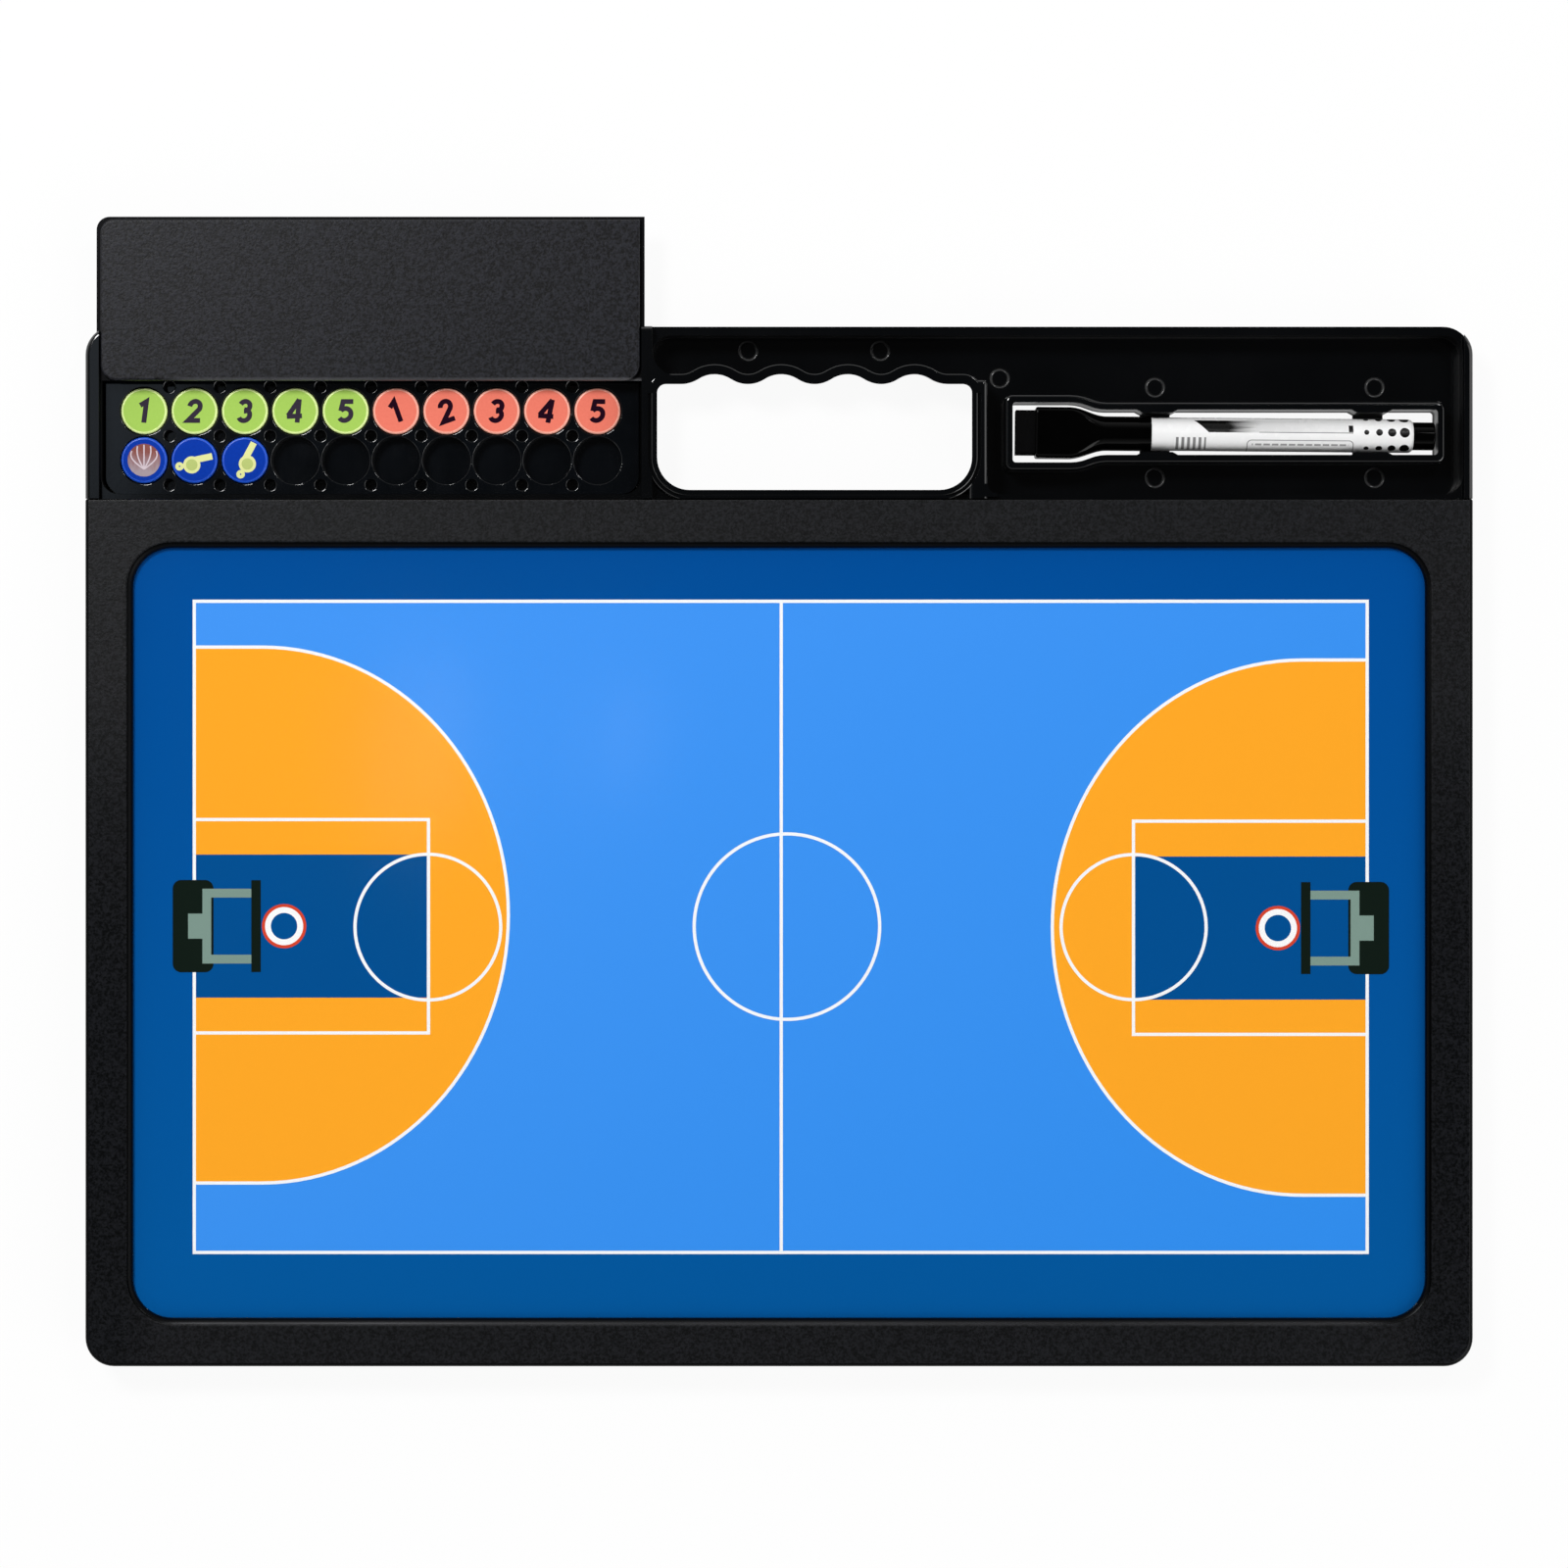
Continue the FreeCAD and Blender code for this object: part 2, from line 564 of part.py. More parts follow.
def front_frame():
    """Bezel over the lower part of the case, with a side wall down to the shell's."""
    frame = round_block(left_x, right_x, bottom_y, top_y, PARTING, CASE_DEPTH, CASE_CORNER)
    frame = round_level(frame, FRAME_EDGE, CASE_DEPTH)
    frame = frame.cut(block(left_x - OVER, right_x + OVER, frame_y, top_y + OVER,
                            PARTING - OVER, CASE_DEPTH + OVER))
    frame = round_level(frame, EDGE_BREAK, CASE_DEPTH, lambda box: box.YMin > frame_y - SAME)
    frame = frame.cut(round_block(left_x + SIDE_WALL, right_x - SIDE_WALL,
                                  bottom_y + SIDE_WALL, frame_y - SIDE_WALL,
                                  PARTING - OVER, plate_z, CASE_CORNER - SIDE_WALL))
    frame = frame.cut(round_block(-window_x, window_x, window_y0, window_y1,
                                  PARTING, CASE_DEPTH + OVER, WINDOW_CORNER))
    frame = round_level(frame, WINDOW_EDGE, CASE_DEPTH,
                        lambda box: box.YMax < window_y1 + SAME and box.YMin > window_y0 - SAME
                        and max(abs(box.XMin), abs(box.XMax)) < window_x + SAME)
    frame = frame.fuse([disc(x, y, PARTING, plate_z + OVER, BOSS_DIA) for x, y in boss_places()])
    pilot = SCREW_DIA + 2 * PILOT_CLEAR
    frame = frame.cut([disc(x, y, PARTING - OVER, screw_end_z + PILOT_SPARE, pilot)
                       for x, y in boss_places()])
    return frame.removeSplitter()


def panel_sheet(z0, z1):
    return round_block(-panel_x, panel_x, panel_y0, panel_y1, z0, z1, PANEL_CORNER)


def case_screws():
    """Pan-head screws with a cross recess, one for each boss."""
    screws = []
    for x, y in boss_places():
        screw = disc(x, y, HEAD_SINK, head_ledge_z, HEAD_DIA)
        screw = screw.fuse(disc(x, y, head_ledge_z, screw_end_z, SCREW_DIA))
        for wide, tall in ((SLOT_LENGTH, SLOT_WIDTH), (SLOT_WIDTH, SLOT_LENGTH)):
            screw = screw.cut(block(x - wide / 2, x + wide / 2, y - tall / 2, y + tall / 2,
                                    HEAD_SINK - OVER, HEAD_SINK + SLOT_DEPTH))
        screws.append(screw)
    return Part.makeCompound(screws)


def pocket_place(column, row):
    """Middle of a pocket. Row 0 is the upper one."""
    return first_column + column * column_pitch, row_y + (ROWS - 1 - row) * row_pitch


def magnet_tray():
    """Moulded insert with a round pocket for each token and small holes between them."""
    tray = round_block(bay_x0 + TRAY_SIDE_GAP, bay_x1 - TRAY_SIDE_GAP,
                       bay_y0 + TRAY_END_GAP, bay_y1 - TRAY_END_GAP,
                       FLOOR, tray_z, BAY_CORNER - TRAY_END_GAP)
    cuts = []
    radius = TOKEN_DIA / 2 + POCKET_CLEAR
    for column in range(COLUMNS):
        for row in range(ROWS):
            x, y = pocket_place(column, row)
            cuts.append(disc(x, y, tray_z - POCKET_DEPTH, tray_z + OVER, 2 * radius))
            cuts.append(flare(x, y, tray_z, 2 * radius, POCKET_EDGE))
    for column in range(COLUMNS - 1):
        for gap in range(ROWS + 1):
            x, y = pocket_place(column, gap)
            x += column_pitch / 2
            y += row_pitch / 2
            cuts.append(disc(x, y, tray_z - POCKET_DEPTH, tray_z + OVER, CORE_DIA))
            cuts.append(flare(x, y, tray_z, CORE_DIA, CORE_EDGE))
    return tray.cut(cuts)


def token(column, row):
    """A token's coloured cup, the magnet in its base and the label on its top."""
    x, y = pocket_place(column, row)
    top_z = token_z + TOKEN_HEIGHT
    cup = round_level(disc(x, y, token_z, top_z, TOKEN_DIA), TOKEN_EDGE, top_z)
    label = disc(x, y, top_z - LABEL, top_z, LABEL_DIA)
    magnet = disc(x, y, token_z, token_z + MAGNET, MAGNET_DIA)
    return {"cup": cup.cut([label, magnet]), "magnet": magnet, "label": label}


def storage_lid():
    """Sliding lid: a plate whose edges run in the grooves, with a raised pad, hollow below."""
    y0 = seam_y + LID_END_GAP + LID_OPEN
    y1 = top_y - LID_SHORT + LID_OPEN
    x0 = bay_x0 - LID_TONGUE
    x1 = bay_x1 + LID_TONGUE
    pad_x0 = bay_x0 + LID_PAD_GAP
    pad_x1 = bay_x1 - LID_PAD_GAP

    def top_left(x, y):
        return x < (x0 + x1) / 2 and y > (y0 + y1) / 2

    def bottom(x, y):
        return y < (y0 + y1) / 2

    plate = round_corners(block(x0, x1, y0, y1, lid_z, lid_z + LID_PLATE), LID_TOP_CORNER, top_left)
    pad = round_corners(block(pad_x0, pad_x1, y0, y1 - LID_STEP, lid_z, CASE_DEPTH), LID_TOP_CORNER, top_left)
    pad = round_level(round_corners(pad, LID_CORNER, bottom), LID_EDGE, CASE_DEPTH)
    hollow = round_block(pad_x0 + LID_CORNER, pad_x1 - LID_CORNER, y0 + LID_CORNER, y1 - LID_CORNER,
                         lid_z - OVER, CASE_DEPTH - LID_WALL, LID_WALL)
    return plate.fuse(pad).cut(hollow).removeSplitter()


def pen_section(x, width, thick, corner):
    """A rounded rectangle across the marker's axis."""
    y = width / 2
    z = thick / 2
    points = []
    for side_y, side_z in ((1, 1), (-1, 1), (-1, -1), (1, -1)):
        at = vec(x, pen_y + side_y * y, pen_z + side_z * z)
        along_y = vec(x, at.y - side_y * corner, at.z)
        along_z = vec(x, at.y, at.z - side_z * corner)
        pair = (along_z, at, along_y) if side_y * side_z > 0 else (along_y, at, along_z)
        points.append(pair)
    edges = []
    for k, (start, at, finish) in enumerate(points):
        edges.append(corner_arc(start, at, finish))
        edges.append(line(finish, points[(k + 1) % 4][0]))
    return Part.Wire(edges)


def pen_bar(x0, x1, width, thick, corner):
    """A length of the marker with a rounded rectangular section."""
    return Part.Face(pen_section(x0, width, thick, corner)).extrude(vec(x1 - x0, 0, 0))


def marker_cap():
    """Cap with a flat head for the felt, drawn in through an S-shaped taper to a round neck."""
    round_corner = CAP_NECK_DIA / 2 - LOFT_FLAT
    sections = []
    steps = 4
    for k in range(steps + 1):
        t = k / steps
        ease = t * t * (3 - 2 * t)
        sections.append(pen_section(taper_x + t * CAP_TAPER_LENGTH,
                                    CAP_HEAD_WIDTH + ease * (CAP_NECK_DIA - CAP_HEAD_WIDTH),
                                    CAP_HEAD_THICK + ease * (CAP_NECK_DIA - CAP_HEAD_THICK),
                                    CAP_HEAD_CORNER + ease * (round_corner - CAP_HEAD_CORNER)))
    head = pen_bar(head_x, taper_x, CAP_HEAD_WIDTH, CAP_HEAD_THICK, CAP_HEAD_CORNER)
    front = [edge for edge in head.Edges if edge.BoundBox.XMax < head_x + SAME]
    head = head.makeFillet(CAP_EDGE, front)
    taper = Part.makeLoft(sections, True, False)
    neck = pen_bar(neck_x, barrel_x, CAP_NECK_DIA, CAP_NECK_DIA, round_corner)
    cap = head.fuse([taper, neck])
    cap = cap.cut(pen_rod(neck_x - CAP_BORE_PAST, barrel_x + OVER, CAP_BORE))
    return cap.cut(felt_tongue()).removeSplitter()


def felt_tongue():
    """The narrower end of the felt, which the cap's head holds."""
    return pen_bar(head_x - OVER, head_x + FELT_TONGUE, FELT_WIDTH - 2 * FELT_STEP,
                   FELT_THICK - 2 * FELT_STEP, FELT_CORNER)


def marker_eraser():
    """Felt block at the end of the cap."""
    return pen_bar(felt_x, head_x, FELT_WIDTH, FELT_THICK, FELT_CORNER).fuse(felt_tongue()).removeSplitter()


def marker_barrel():
    """Tube with a rounded tail end."""
    barrel = pen_rod(barrel_x, tail_x, BARREL_DIA)
    tail = [edge for edge in barrel.Edges if edge.BoundBox.XMin > tail_x - SAME]
    barrel = barrel.makeFillet(BARREL_END, tail)
    return barrel.cut(pen_rod(barrel_x - OVER, tail_x + OVER, BARREL_BORE))


def marker_tail_plug():
    """Stopper pushed into the barrel's tail."""
    plug = pen_rod(tail_x - PLUG_SPIGOT, end_x, BARREL_BORE - 2 * PEN_FIT)
    end = [edge for edge in plug.Edges if edge.BoundBox.XMin > end_x - SAME]
    return plug.makeFillet(PLUG_EDGE, end)


def marker_nib_holder():
    """Plug in the barrel's front, with a snout that the cap closes over."""
    holder = pen_rod(barrel_x, barrel_x + HOLDER_LENGTH, BARREL_BORE - 2 * PEN_FIT)
    holder = holder.fuse(pen_rod(barrel_x - SNOUT_LENGTH, barrel_x + OVER, SNOUT_DIA))
    bore = pen_rod(barrel_x - SNOUT_LENGTH - OVER, barrel_x + HOLDER_LENGTH + OVER, NIB_DIA + 2 * PEN_FIT)
    return holder.cut(bore).removeSplitter()


def marker_nib():
    """Felt nib with a round tip, whose tail sits in the ink core."""
    tip_x = barrel_x - SNOUT_LENGTH - NIB_SHOWING
    rod = pen_rod(tip_x + NIB_DIA / 2, barrel_x + HOLDER_LENGTH + NIB_TAIL, NIB_DIA)
    tip = Part.makeSphere(NIB_DIA / 2, vec(tip_x + NIB_DIA / 2, pen_y, pen_z))
    return rod.fuse(tip).removeSplitter()


def marker_ink_core():
    """Fibre rod that fills the barrel between the nib holder and the tail plug."""
    start = barrel_x + HOLDER_LENGTH + PEN_FIT
    core = pen_rod(start, tail_x - PLUG_SPIGOT - PEN_FIT, CORE_ROD_DIA)
    return core.cut(pen_rod(start - OVER, barrel_x + HOLDER_LENGTH + NIB_TAIL + PEN_FIT,
                            NIB_DIA + 2 * PEN_FIT))


def askew(shape):
    """A piece of the marker as it lies in the clips."""
    shape.rotate(vec((pen_x0 + pen_x1) / 2, pen_y, pen_z), vec(0, 0, 1), -PEN_TILT)
    return shape


# The tokens as they lie in the tray: two teams above, the ball and two referees below
tokens = {}
for number in range(1, 6):
    tokens[f"home_{number}"] = (number - 1, 0)
    tokens[f"away_{number}"] = (number + 4, 0)
tokens["ball"] = (0, 1)
tokens["referee_1"] = (1, 1)
tokens["referee_2"] = (2, 1)

parts = {
    "rear_shell": rear_shell(),
    "front_frame": front_frame(),
    "steel_sheet": panel_sheet(steel_z, print_z),
    "court_print": panel_sheet(print_z, film_z),
    "clear_film": panel_sheet(film_z, plate_z),
    "case_screws": case_screws(),
    "magnet_tray": magnet_tray(),
    "storage_lid": storage_lid(),
    "marker_barrel": askew(marker_barrel()),
    "marker_cap": askew(marker_cap()),
    "marker_eraser": askew(marker_eraser()),
    "marker_tail_plug": askew(marker_tail_plug()),
    "marker_nib_holder": askew(marker_nib_holder()),
    "marker_nib": askew(marker_nib()),
    "marker_ink_core": askew(marker_ink_core()),
}
for name, place in tokens.items():
    for piece, shape in token(*place).items():
        parts[f"token_{name}_{piece}"] = shape

os.makedirs("parts", exist_ok=True)
for node, shape in parts.items():
    shape.exportStep(f"parts/{node}.step")
    print(node, "solids", len(shape.Solids), "valid", shape.isValid(), "volume", round(shape.Volume, 1))
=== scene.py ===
import bpy
import math
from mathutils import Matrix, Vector


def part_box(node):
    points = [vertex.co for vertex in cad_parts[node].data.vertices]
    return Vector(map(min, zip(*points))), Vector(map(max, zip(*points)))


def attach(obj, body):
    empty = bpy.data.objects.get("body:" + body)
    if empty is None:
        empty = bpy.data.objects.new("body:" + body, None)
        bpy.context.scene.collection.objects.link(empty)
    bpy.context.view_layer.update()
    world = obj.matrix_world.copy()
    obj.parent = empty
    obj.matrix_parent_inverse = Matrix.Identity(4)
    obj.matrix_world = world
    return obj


# A basketball coach's tactics board, lying on its back: a black carry case with a printed magnetic court,
# a tray of numbered tokens under a sliding lid, and a marker clipped in its own bay.
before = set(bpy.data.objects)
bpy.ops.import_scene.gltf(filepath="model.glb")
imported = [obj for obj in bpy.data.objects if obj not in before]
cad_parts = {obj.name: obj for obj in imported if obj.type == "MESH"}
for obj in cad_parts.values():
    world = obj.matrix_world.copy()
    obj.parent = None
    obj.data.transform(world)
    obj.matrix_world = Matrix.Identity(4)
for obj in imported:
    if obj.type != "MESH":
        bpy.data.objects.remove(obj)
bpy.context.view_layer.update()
MM = 0.001

# Rear shell
# Back of the case and the open band along its top, moulded in one piece from black plastic.
# Its gloss is a little uneven, with wide smears from handling and fine hairlines. Round grooves in the
# bay floors, where the mould's pins pushed the piece out, are dull.
BAY_FLOOR = 2.4 * MM
HAIR = 0.0005 * MM
# what steep walls, their foot and the grooves add to the roughness
WALL_DULL, FOOT_DULL, GROOVE_DULL = 0.3, 0.35, 0.45
FOOT_TOP, FOOT_FADE = 6 * MM, 3 * MM
WALL_TILT = 0.25


class Wire:
    """What leaves one socket of a shader node, so that sums on it are plain expressions."""

    def __init__(self, finish, socket):
        self.finish = finish
        self.socket = socket

    def math(self, operation, first, second=0.0):
        return self.finish.node("ShaderNodeMath", {"operation": operation}, {0: first, 1: second})

    def __add__(self, other):
        return self.math("ADD", self, other)

    def __radd__(self, other):
        return self.math("ADD", other, self)

    def __sub__(self, other):
        return self.math("SUBTRACT", self, other)

    def __rsub__(self, other):
        return self.math("SUBTRACT", other, self)

    def __mul__(self, other):
        return self.math("MULTIPLY", self, other)

    def __rmul__(self, other):
        return self.math("MULTIPLY", other, self)

    def __truediv__(self, other):
        return self.math("DIVIDE", self, other)

    def __pow__(self, other):
        return self.math("POWER", self, other)

    def __lt__(self, other):
        return self.math("LESS_THAN", self, other)

    def __gt__(self, other):
        return self.math("GREATER_THAN", self, other)

    def __abs__(self):
        return self.math("ABSOLUTE", self)

    def whole(self):
        return self.math("FLOOR", self)

    def at_least(self, other):
        return self.math("MAXIMUM", self, other)

    def at_most(self, other):
        return self.math("MINIMUM", self, other)

    def share(self):
        """The same, held between 0 and 1."""
        return self.at_least(0.0).at_most(1.0)


class Finish:
    """One material: a plain surface and the nodes that vary it."""

    def __init__(self, name, plain):
        self.material = bpy.data.materials.new(name)
        self.set_up(self.material, "Principled BSDF", plain)

    def set_up(self, owner, surface, plain):
        owner.use_nodes = True
        self.tree = owner.node_tree
        self.surface = self.tree.nodes[surface]
        self.feed(self.surface, plain)

    def feed(self, node, sockets):
        for name, value in sockets.items():
            if isinstance(value, Wire):
                self.tree.links.new(value.socket, node.inputs[name])
            else:
                node.inputs[name].default_value = value

    def node(self, kind, settings, sockets, output=0):
        """Adds a node: first its settings, then the values or links of its sockets."""
        node = self.tree.nodes.new(kind)
        for name, value in settings.items():
            setattr(node, name, value)
        self.feed(node, sockets)
        return Wire(self, node.outputs[output])

    def place(self, stretch=(1.0, 1.0, 1.0)):
        """Where a point of the surface lies, in metres in the board's own frame."""
        at = self.node("ShaderNodeTexCoord", {}, {}, "Object")
        if stretch == (1.0, 1.0, 1.0):
            return at
        return self.node("ShaderNodeVectorMath", {"operation": "MULTIPLY"}, {0: at, 1: stretch})

    def axes(self):
        """The same as three numbers."""
        at = self.node("ShaderNodeSeparateXYZ", {}, {0: self.place()})
        return [Wire(self, out) for out in at.socket.node.outputs]

    def cloud(self, size, detail=2.0, stretch=(1.0, 1.0, 1.0)):
        """Soft mottle from 0 to 1, whose patches are about this large."""
        return self.node("ShaderNodeTexNoise", {},
                         {"Vector": self.place(stretch), "Scale": 1 / size, "Detail": detail})

    def blend(self, share, low, high):
        """A colour between two others."""
        return self.node("ShaderNodeMix", {"data_type": "RGBA"}, {0: share, 6: low, 7: high}, 2)

    def relief(self, height, depth):
        """Makes the surface uneven by up to this depth."""
        bump = self.node("ShaderNodeBump", {}, {"Height": height, "Distance": depth})
        self.feed(self.surface, {"Normal": bump})

    def vary(self, sockets):
        self.feed(self.surface, sockets)


def paint(red, green, blue):
    """A colour from a colour card, 0 to 255, as light."""
    light = []
    for part in (red, green, blue):
        part /= 255
        light.append(((part + 0.055) / 1.055) ** 2.4 if part > 0.04 else part / 12.92)
    return (*light, 1.0)


def dress(node, finish):
    """Gives a piece its finish."""
    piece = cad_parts[node]
    piece.data.materials.clear()
    piece.data.materials.append(finish.material)


def polished_black(name, dark, pale, smear, rough=0.05, coat=0.4, shine=0.5):
    """Glossy moulded plastic with smears of this size. Steep walls are dull, most of all at their foot."""
    finish = Finish(name, {"IOR": 1.55, "Specular IOR Level": shine, "Coat Roughness": rough})
    smears = finish.cloud(smear, 4.0)
    hairline = finish.cloud(0.5 * MM, 3.0, (1.0, 0.06, 1.0))
    facing = finish.node("ShaderNodeNewGeometry", {}, {}, "Normal")
    facing_out = finish.node("ShaderNodeSeparateXYZ", {}, {0: facing}, "Z")
    steep = (1.0 - abs(facing_out) / WALL_TILT).share()
    _, _, out = finish.axes()
    foot = ((FOOT_TOP - out) / FOOT_FADE).share()
    groove = (out < BAY_FLOOR - HAIR) * (facing_out > 0.0)
    dull = (steep * (WALL_DULL + FOOT_DULL * foot)).at_least(GROOVE_DULL * groove)
    finish.vary({"Base Color": finish.blend(smears, dark, pale),
                 "Coat Weight": coat * (1.0 - steep),
                 "Roughness": rough * (1.0 + 1.4 * smears + hairline) + dull})
    finish.relief(finish.cloud(1.6 * MM, 1.0), 0.004 * MM)
    return finish


dress("rear_shell", polished_black("shell_gloss", paint(2, 3, 4), paint(7, 8, 10), 26 * MM))

# Steel sheet
# Thin rolled steel behind the print, cut to size, which the magnets hold to.
# The rolls leave fine lines along its length.
steel = Finish("rolled_steel", {"Metallic": 1.0})
rolling = steel.cloud(0.5 * MM, 4.0, (0.02, 1.0, 1.0))
steel.vary({"Base Color": steel.blend(rolling, paint(168, 170, 174), paint(205, 207, 210)),
            "Roughness": 0.28 + 0.2 * rolling})
dress("steel_sheet", steel)

# Court print, the sheet
# A white plastic sheet, cut to size, on which the court is printed.
# It shows only at its edges.
sheet = Finish("sheet_white", {})
calendered = sheet.cloud(2 * MM, 3.0)
sheet.vary({"Base Color": sheet.blend(calendered, paint(232, 233, 235), paint(244, 245, 246)),
            "Roughness": 0.4 + 0.15 * calendered})
dress("court_print", sheet)

# Court print, the inks
# Flat screen-printed layers: a dark blue apron, floor, three-point zones, lanes, lines and two goals.
# Each ink lies on the one before it, under the film, and they keep the print's own uneven drawing.
INK = 0.02 * MM
# the drawing's sizes and places are in millimetres
MARGIN, MARGIN_CORNER = 0.3, 3.7
LINE = 1.0
COURT_LEFT, COURT_RIGHT = -179.4, 180.4
COURT_LOW, COURT_HIGH = -124.65, 75.1
HALFWAY = 0.65
CENTRE, CENTRE_RADIUS = (2.4, -24.7), 28.45
# for each end: three-point centre and half axes, key, lane, free-throw circle, hoop and back of the goal
ENDS = {
    "left": {"side": -1, "edge": COURT_LEFT, "zone": (-158.6, -21.15), "zone_half": (75.55, 82.2),
             "key": -107.55, "key_low": -57.3, "key_high": 8.15, "lane_low": -46.5, "lane_high": -2.6,
             "circle": (-107.75, -24.85), "circle_radius": 22.35, "hoop": (-151.85, -24.55), "goal": -186.0},
    "right": {"side": 1, "edge": COURT_RIGHT, "zone": (160.55, -25.0), "zone_half": (76.75, 82.1),
              "key": 108.7, "key_low": -57.75, "key_high": 7.65, "lane_low": -47.1, "lane_high": -3.2,
              "circle": (108.75, -24.85), "circle_radius": 22.25, "hoop": (153.0, -25.15), "goal": 187.1},
}
HOOP_OUTER, HOOP_RED, HOOP_WHITE = 6.8, 5.85, 4.05
GOAL_BASE, GOAL_HALF, GOAL_CORNER = 12.5, 14.15, 2.6
MAST_START, MAST_END, MAST_HALF = 4.7, 9.1, 3.85
GOAL_BAR, ARM, ARM_OUTER, ARM_REACH = 2.7, 3.15, 11.7, 24.1
BOARD, BOARD_HALF = 2.9, 14.1
ROUND = 128


def circle(x, y, radius, count=ROUND):
    turns = [2 * math.pi * k / count for k in range(count)]
    return [Vector((x + radius * math.cos(t), y + radius * math.sin(t))) for t in turns]


def rectangle(x0, x1, y0, y1):
    return [Vector(corner) for corner in ((x0, y0), (x1, y0), (x1, y1), (x0, y1))]


def round_rectangle(x0, x1, y0, y1, radius, count=8):
    outline = []
    for corner, (x, y) in enumerate(((x1, y1), (x0, y1), (x0, y0), (x1, y0))):
        inward = Vector((1 if x == x0 else -1, 1 if y == y0 else -1)) * radius
        for k in range(count + 1):
            turn = math.pi / 2 * (corner + k / count)
            outline.append(Vector((x, y)) + inward + radius * Vector((math.cos(turn), math.sin(turn))))
    return outline


class Layer:
    """Thin flat shapes printed one after the other, as closed solids. Outlines are in millimetres.

    Each shape stands a hair higher than the one before it, so that no two share a face.
    """

    def __init__(self, low, thick=INK):
        self.low = low
        self.high = low + thick
        self.points = []
        self.faces = []

    def rings(self, outline):
        """Adds an outline at both levels and returns the numbers of its points."""
        numbers = []
        for level in (self.low, self.high):
            first = len(self.points)
            self.points += [(p.x * MM, p.y * MM, level) for p in outline]
            numbers.append(list(range(first, first + len(outline))))
        return numbers

    def wall(self, low, high):
        for k in range(len(low)):
            self.faces.append((low[k - 1], low[k], high[k], high[k - 1]))

    def plate(self, outline):
        """A filled shape. Its outline runs anticlockwise."""
        low, high = self.rings(outline)
        self.wall(low, high)
        self.faces += [high, low[::-1]]
        self.high += HAIR

    def line(self, path, width, closed=False):
        """A line of even width along a path, with mitred corners."""
        left_side, right_side = [], []
        for k, point in enumerate(path):
            before = path[k - 1] if closed or k > 0 else None
            after = path[(k + 1) % len(path)] if closed or k + 1 < len(path) else None
            come = (point - before if before else after - point).normalized()
            leave = (after - point if after else point - before).normalized()
            aside = Vector((-come.y - leave.y, come.x + leave.x)) / (1 + come.dot(leave))
            left_side.append(point + aside * width / 2)
            right_side.append(point - aside * width / 2)
        left_low, left_high = self.rings(left_side)
        right_low, right_high = self.rings(right_side)
        for k in range(0 if closed else 1, len(path)):
            self.faces.append((right_high[k - 1], right_high[k], left_high[k], left_high[k - 1]))
            self.faces.append((left_low[k - 1], left_low[k], right_low[k], right_low[k - 1]))
        if closed:
            self.wall(right_low, right_high)
            self.wall(left_high, left_low)
        else:
            self.wall(right_low + left_low[::-1], right_high + left_high[::-1])
        self.high += HAIR

    def piece(self, name, finish, body, slot):
        """Makes the shapes into one piece that rides on a body."""
        mesh = bpy.data.meshes.new(name)
        mesh.from_pydata(self.points, [], self.faces)
        mesh.materials.append(finish.material)
        made = bpy.data.objects.new(name, mesh)
        bpy.context.scene.collection.objects.link(made)
        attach(made, body)


def printed(name, colour, mottle=0.06, speck=0.5 * MM):
    """Flat ink with a trace of the screen's grain."""
    finish = Finish(name, {"Roughness": 0.5, "Specular IOR Level": 0.0})
    thin = tuple(min(1.0, part * 1.25 + 0.004) for part in colour[:3])
    finish.vary({"Base Color": finish.blend(mottle * finish.cloud(speck, 2.0), colour, (*thin, 1.0))})
    return finish


def shaded_print(name, first, second, slant):
    """Ink that passes from one colour to the other along a slant, across the whole sheet."""
    finish = Finish(name, {"Roughness": 0.5, "Specular IOR Level": 0.0})
    across, up, _ = finish.axes()
    run = (slant[0] * (across - sheet_low.x) / (sheet_high.x - sheet_low.x)
           + slant[1] * (sheet_high.y - up) / (sheet_high.y - sheet_low.y)).share()
    screen = 0.04 * (finish.cloud(0.5 * MM, 2.0) - 0.5)
    finish.vary({"Base Color": finish.blend((run + screen).share(), first, second)})
    return finish


def zone_outline(end):
    """The three-point line: in from the edge, round a half ellipse and back to the edge."""
    (x, y), (wide, high) = end["zone"], end["zone_half"]
    turns = [math.pi * (k / (ROUND / 2) - 0.5) for k in range(ROUND // 2 + 1)]
    curve = [Vector((x - end["side"] * wide * math.cos(t), y + high * math.sin(t))) for t in turns]
    return [Vector((end["edge"], y - high)), *curve, Vector((end["edge"], y + high))]


def spread(first, second):
    return sorted((first, second))


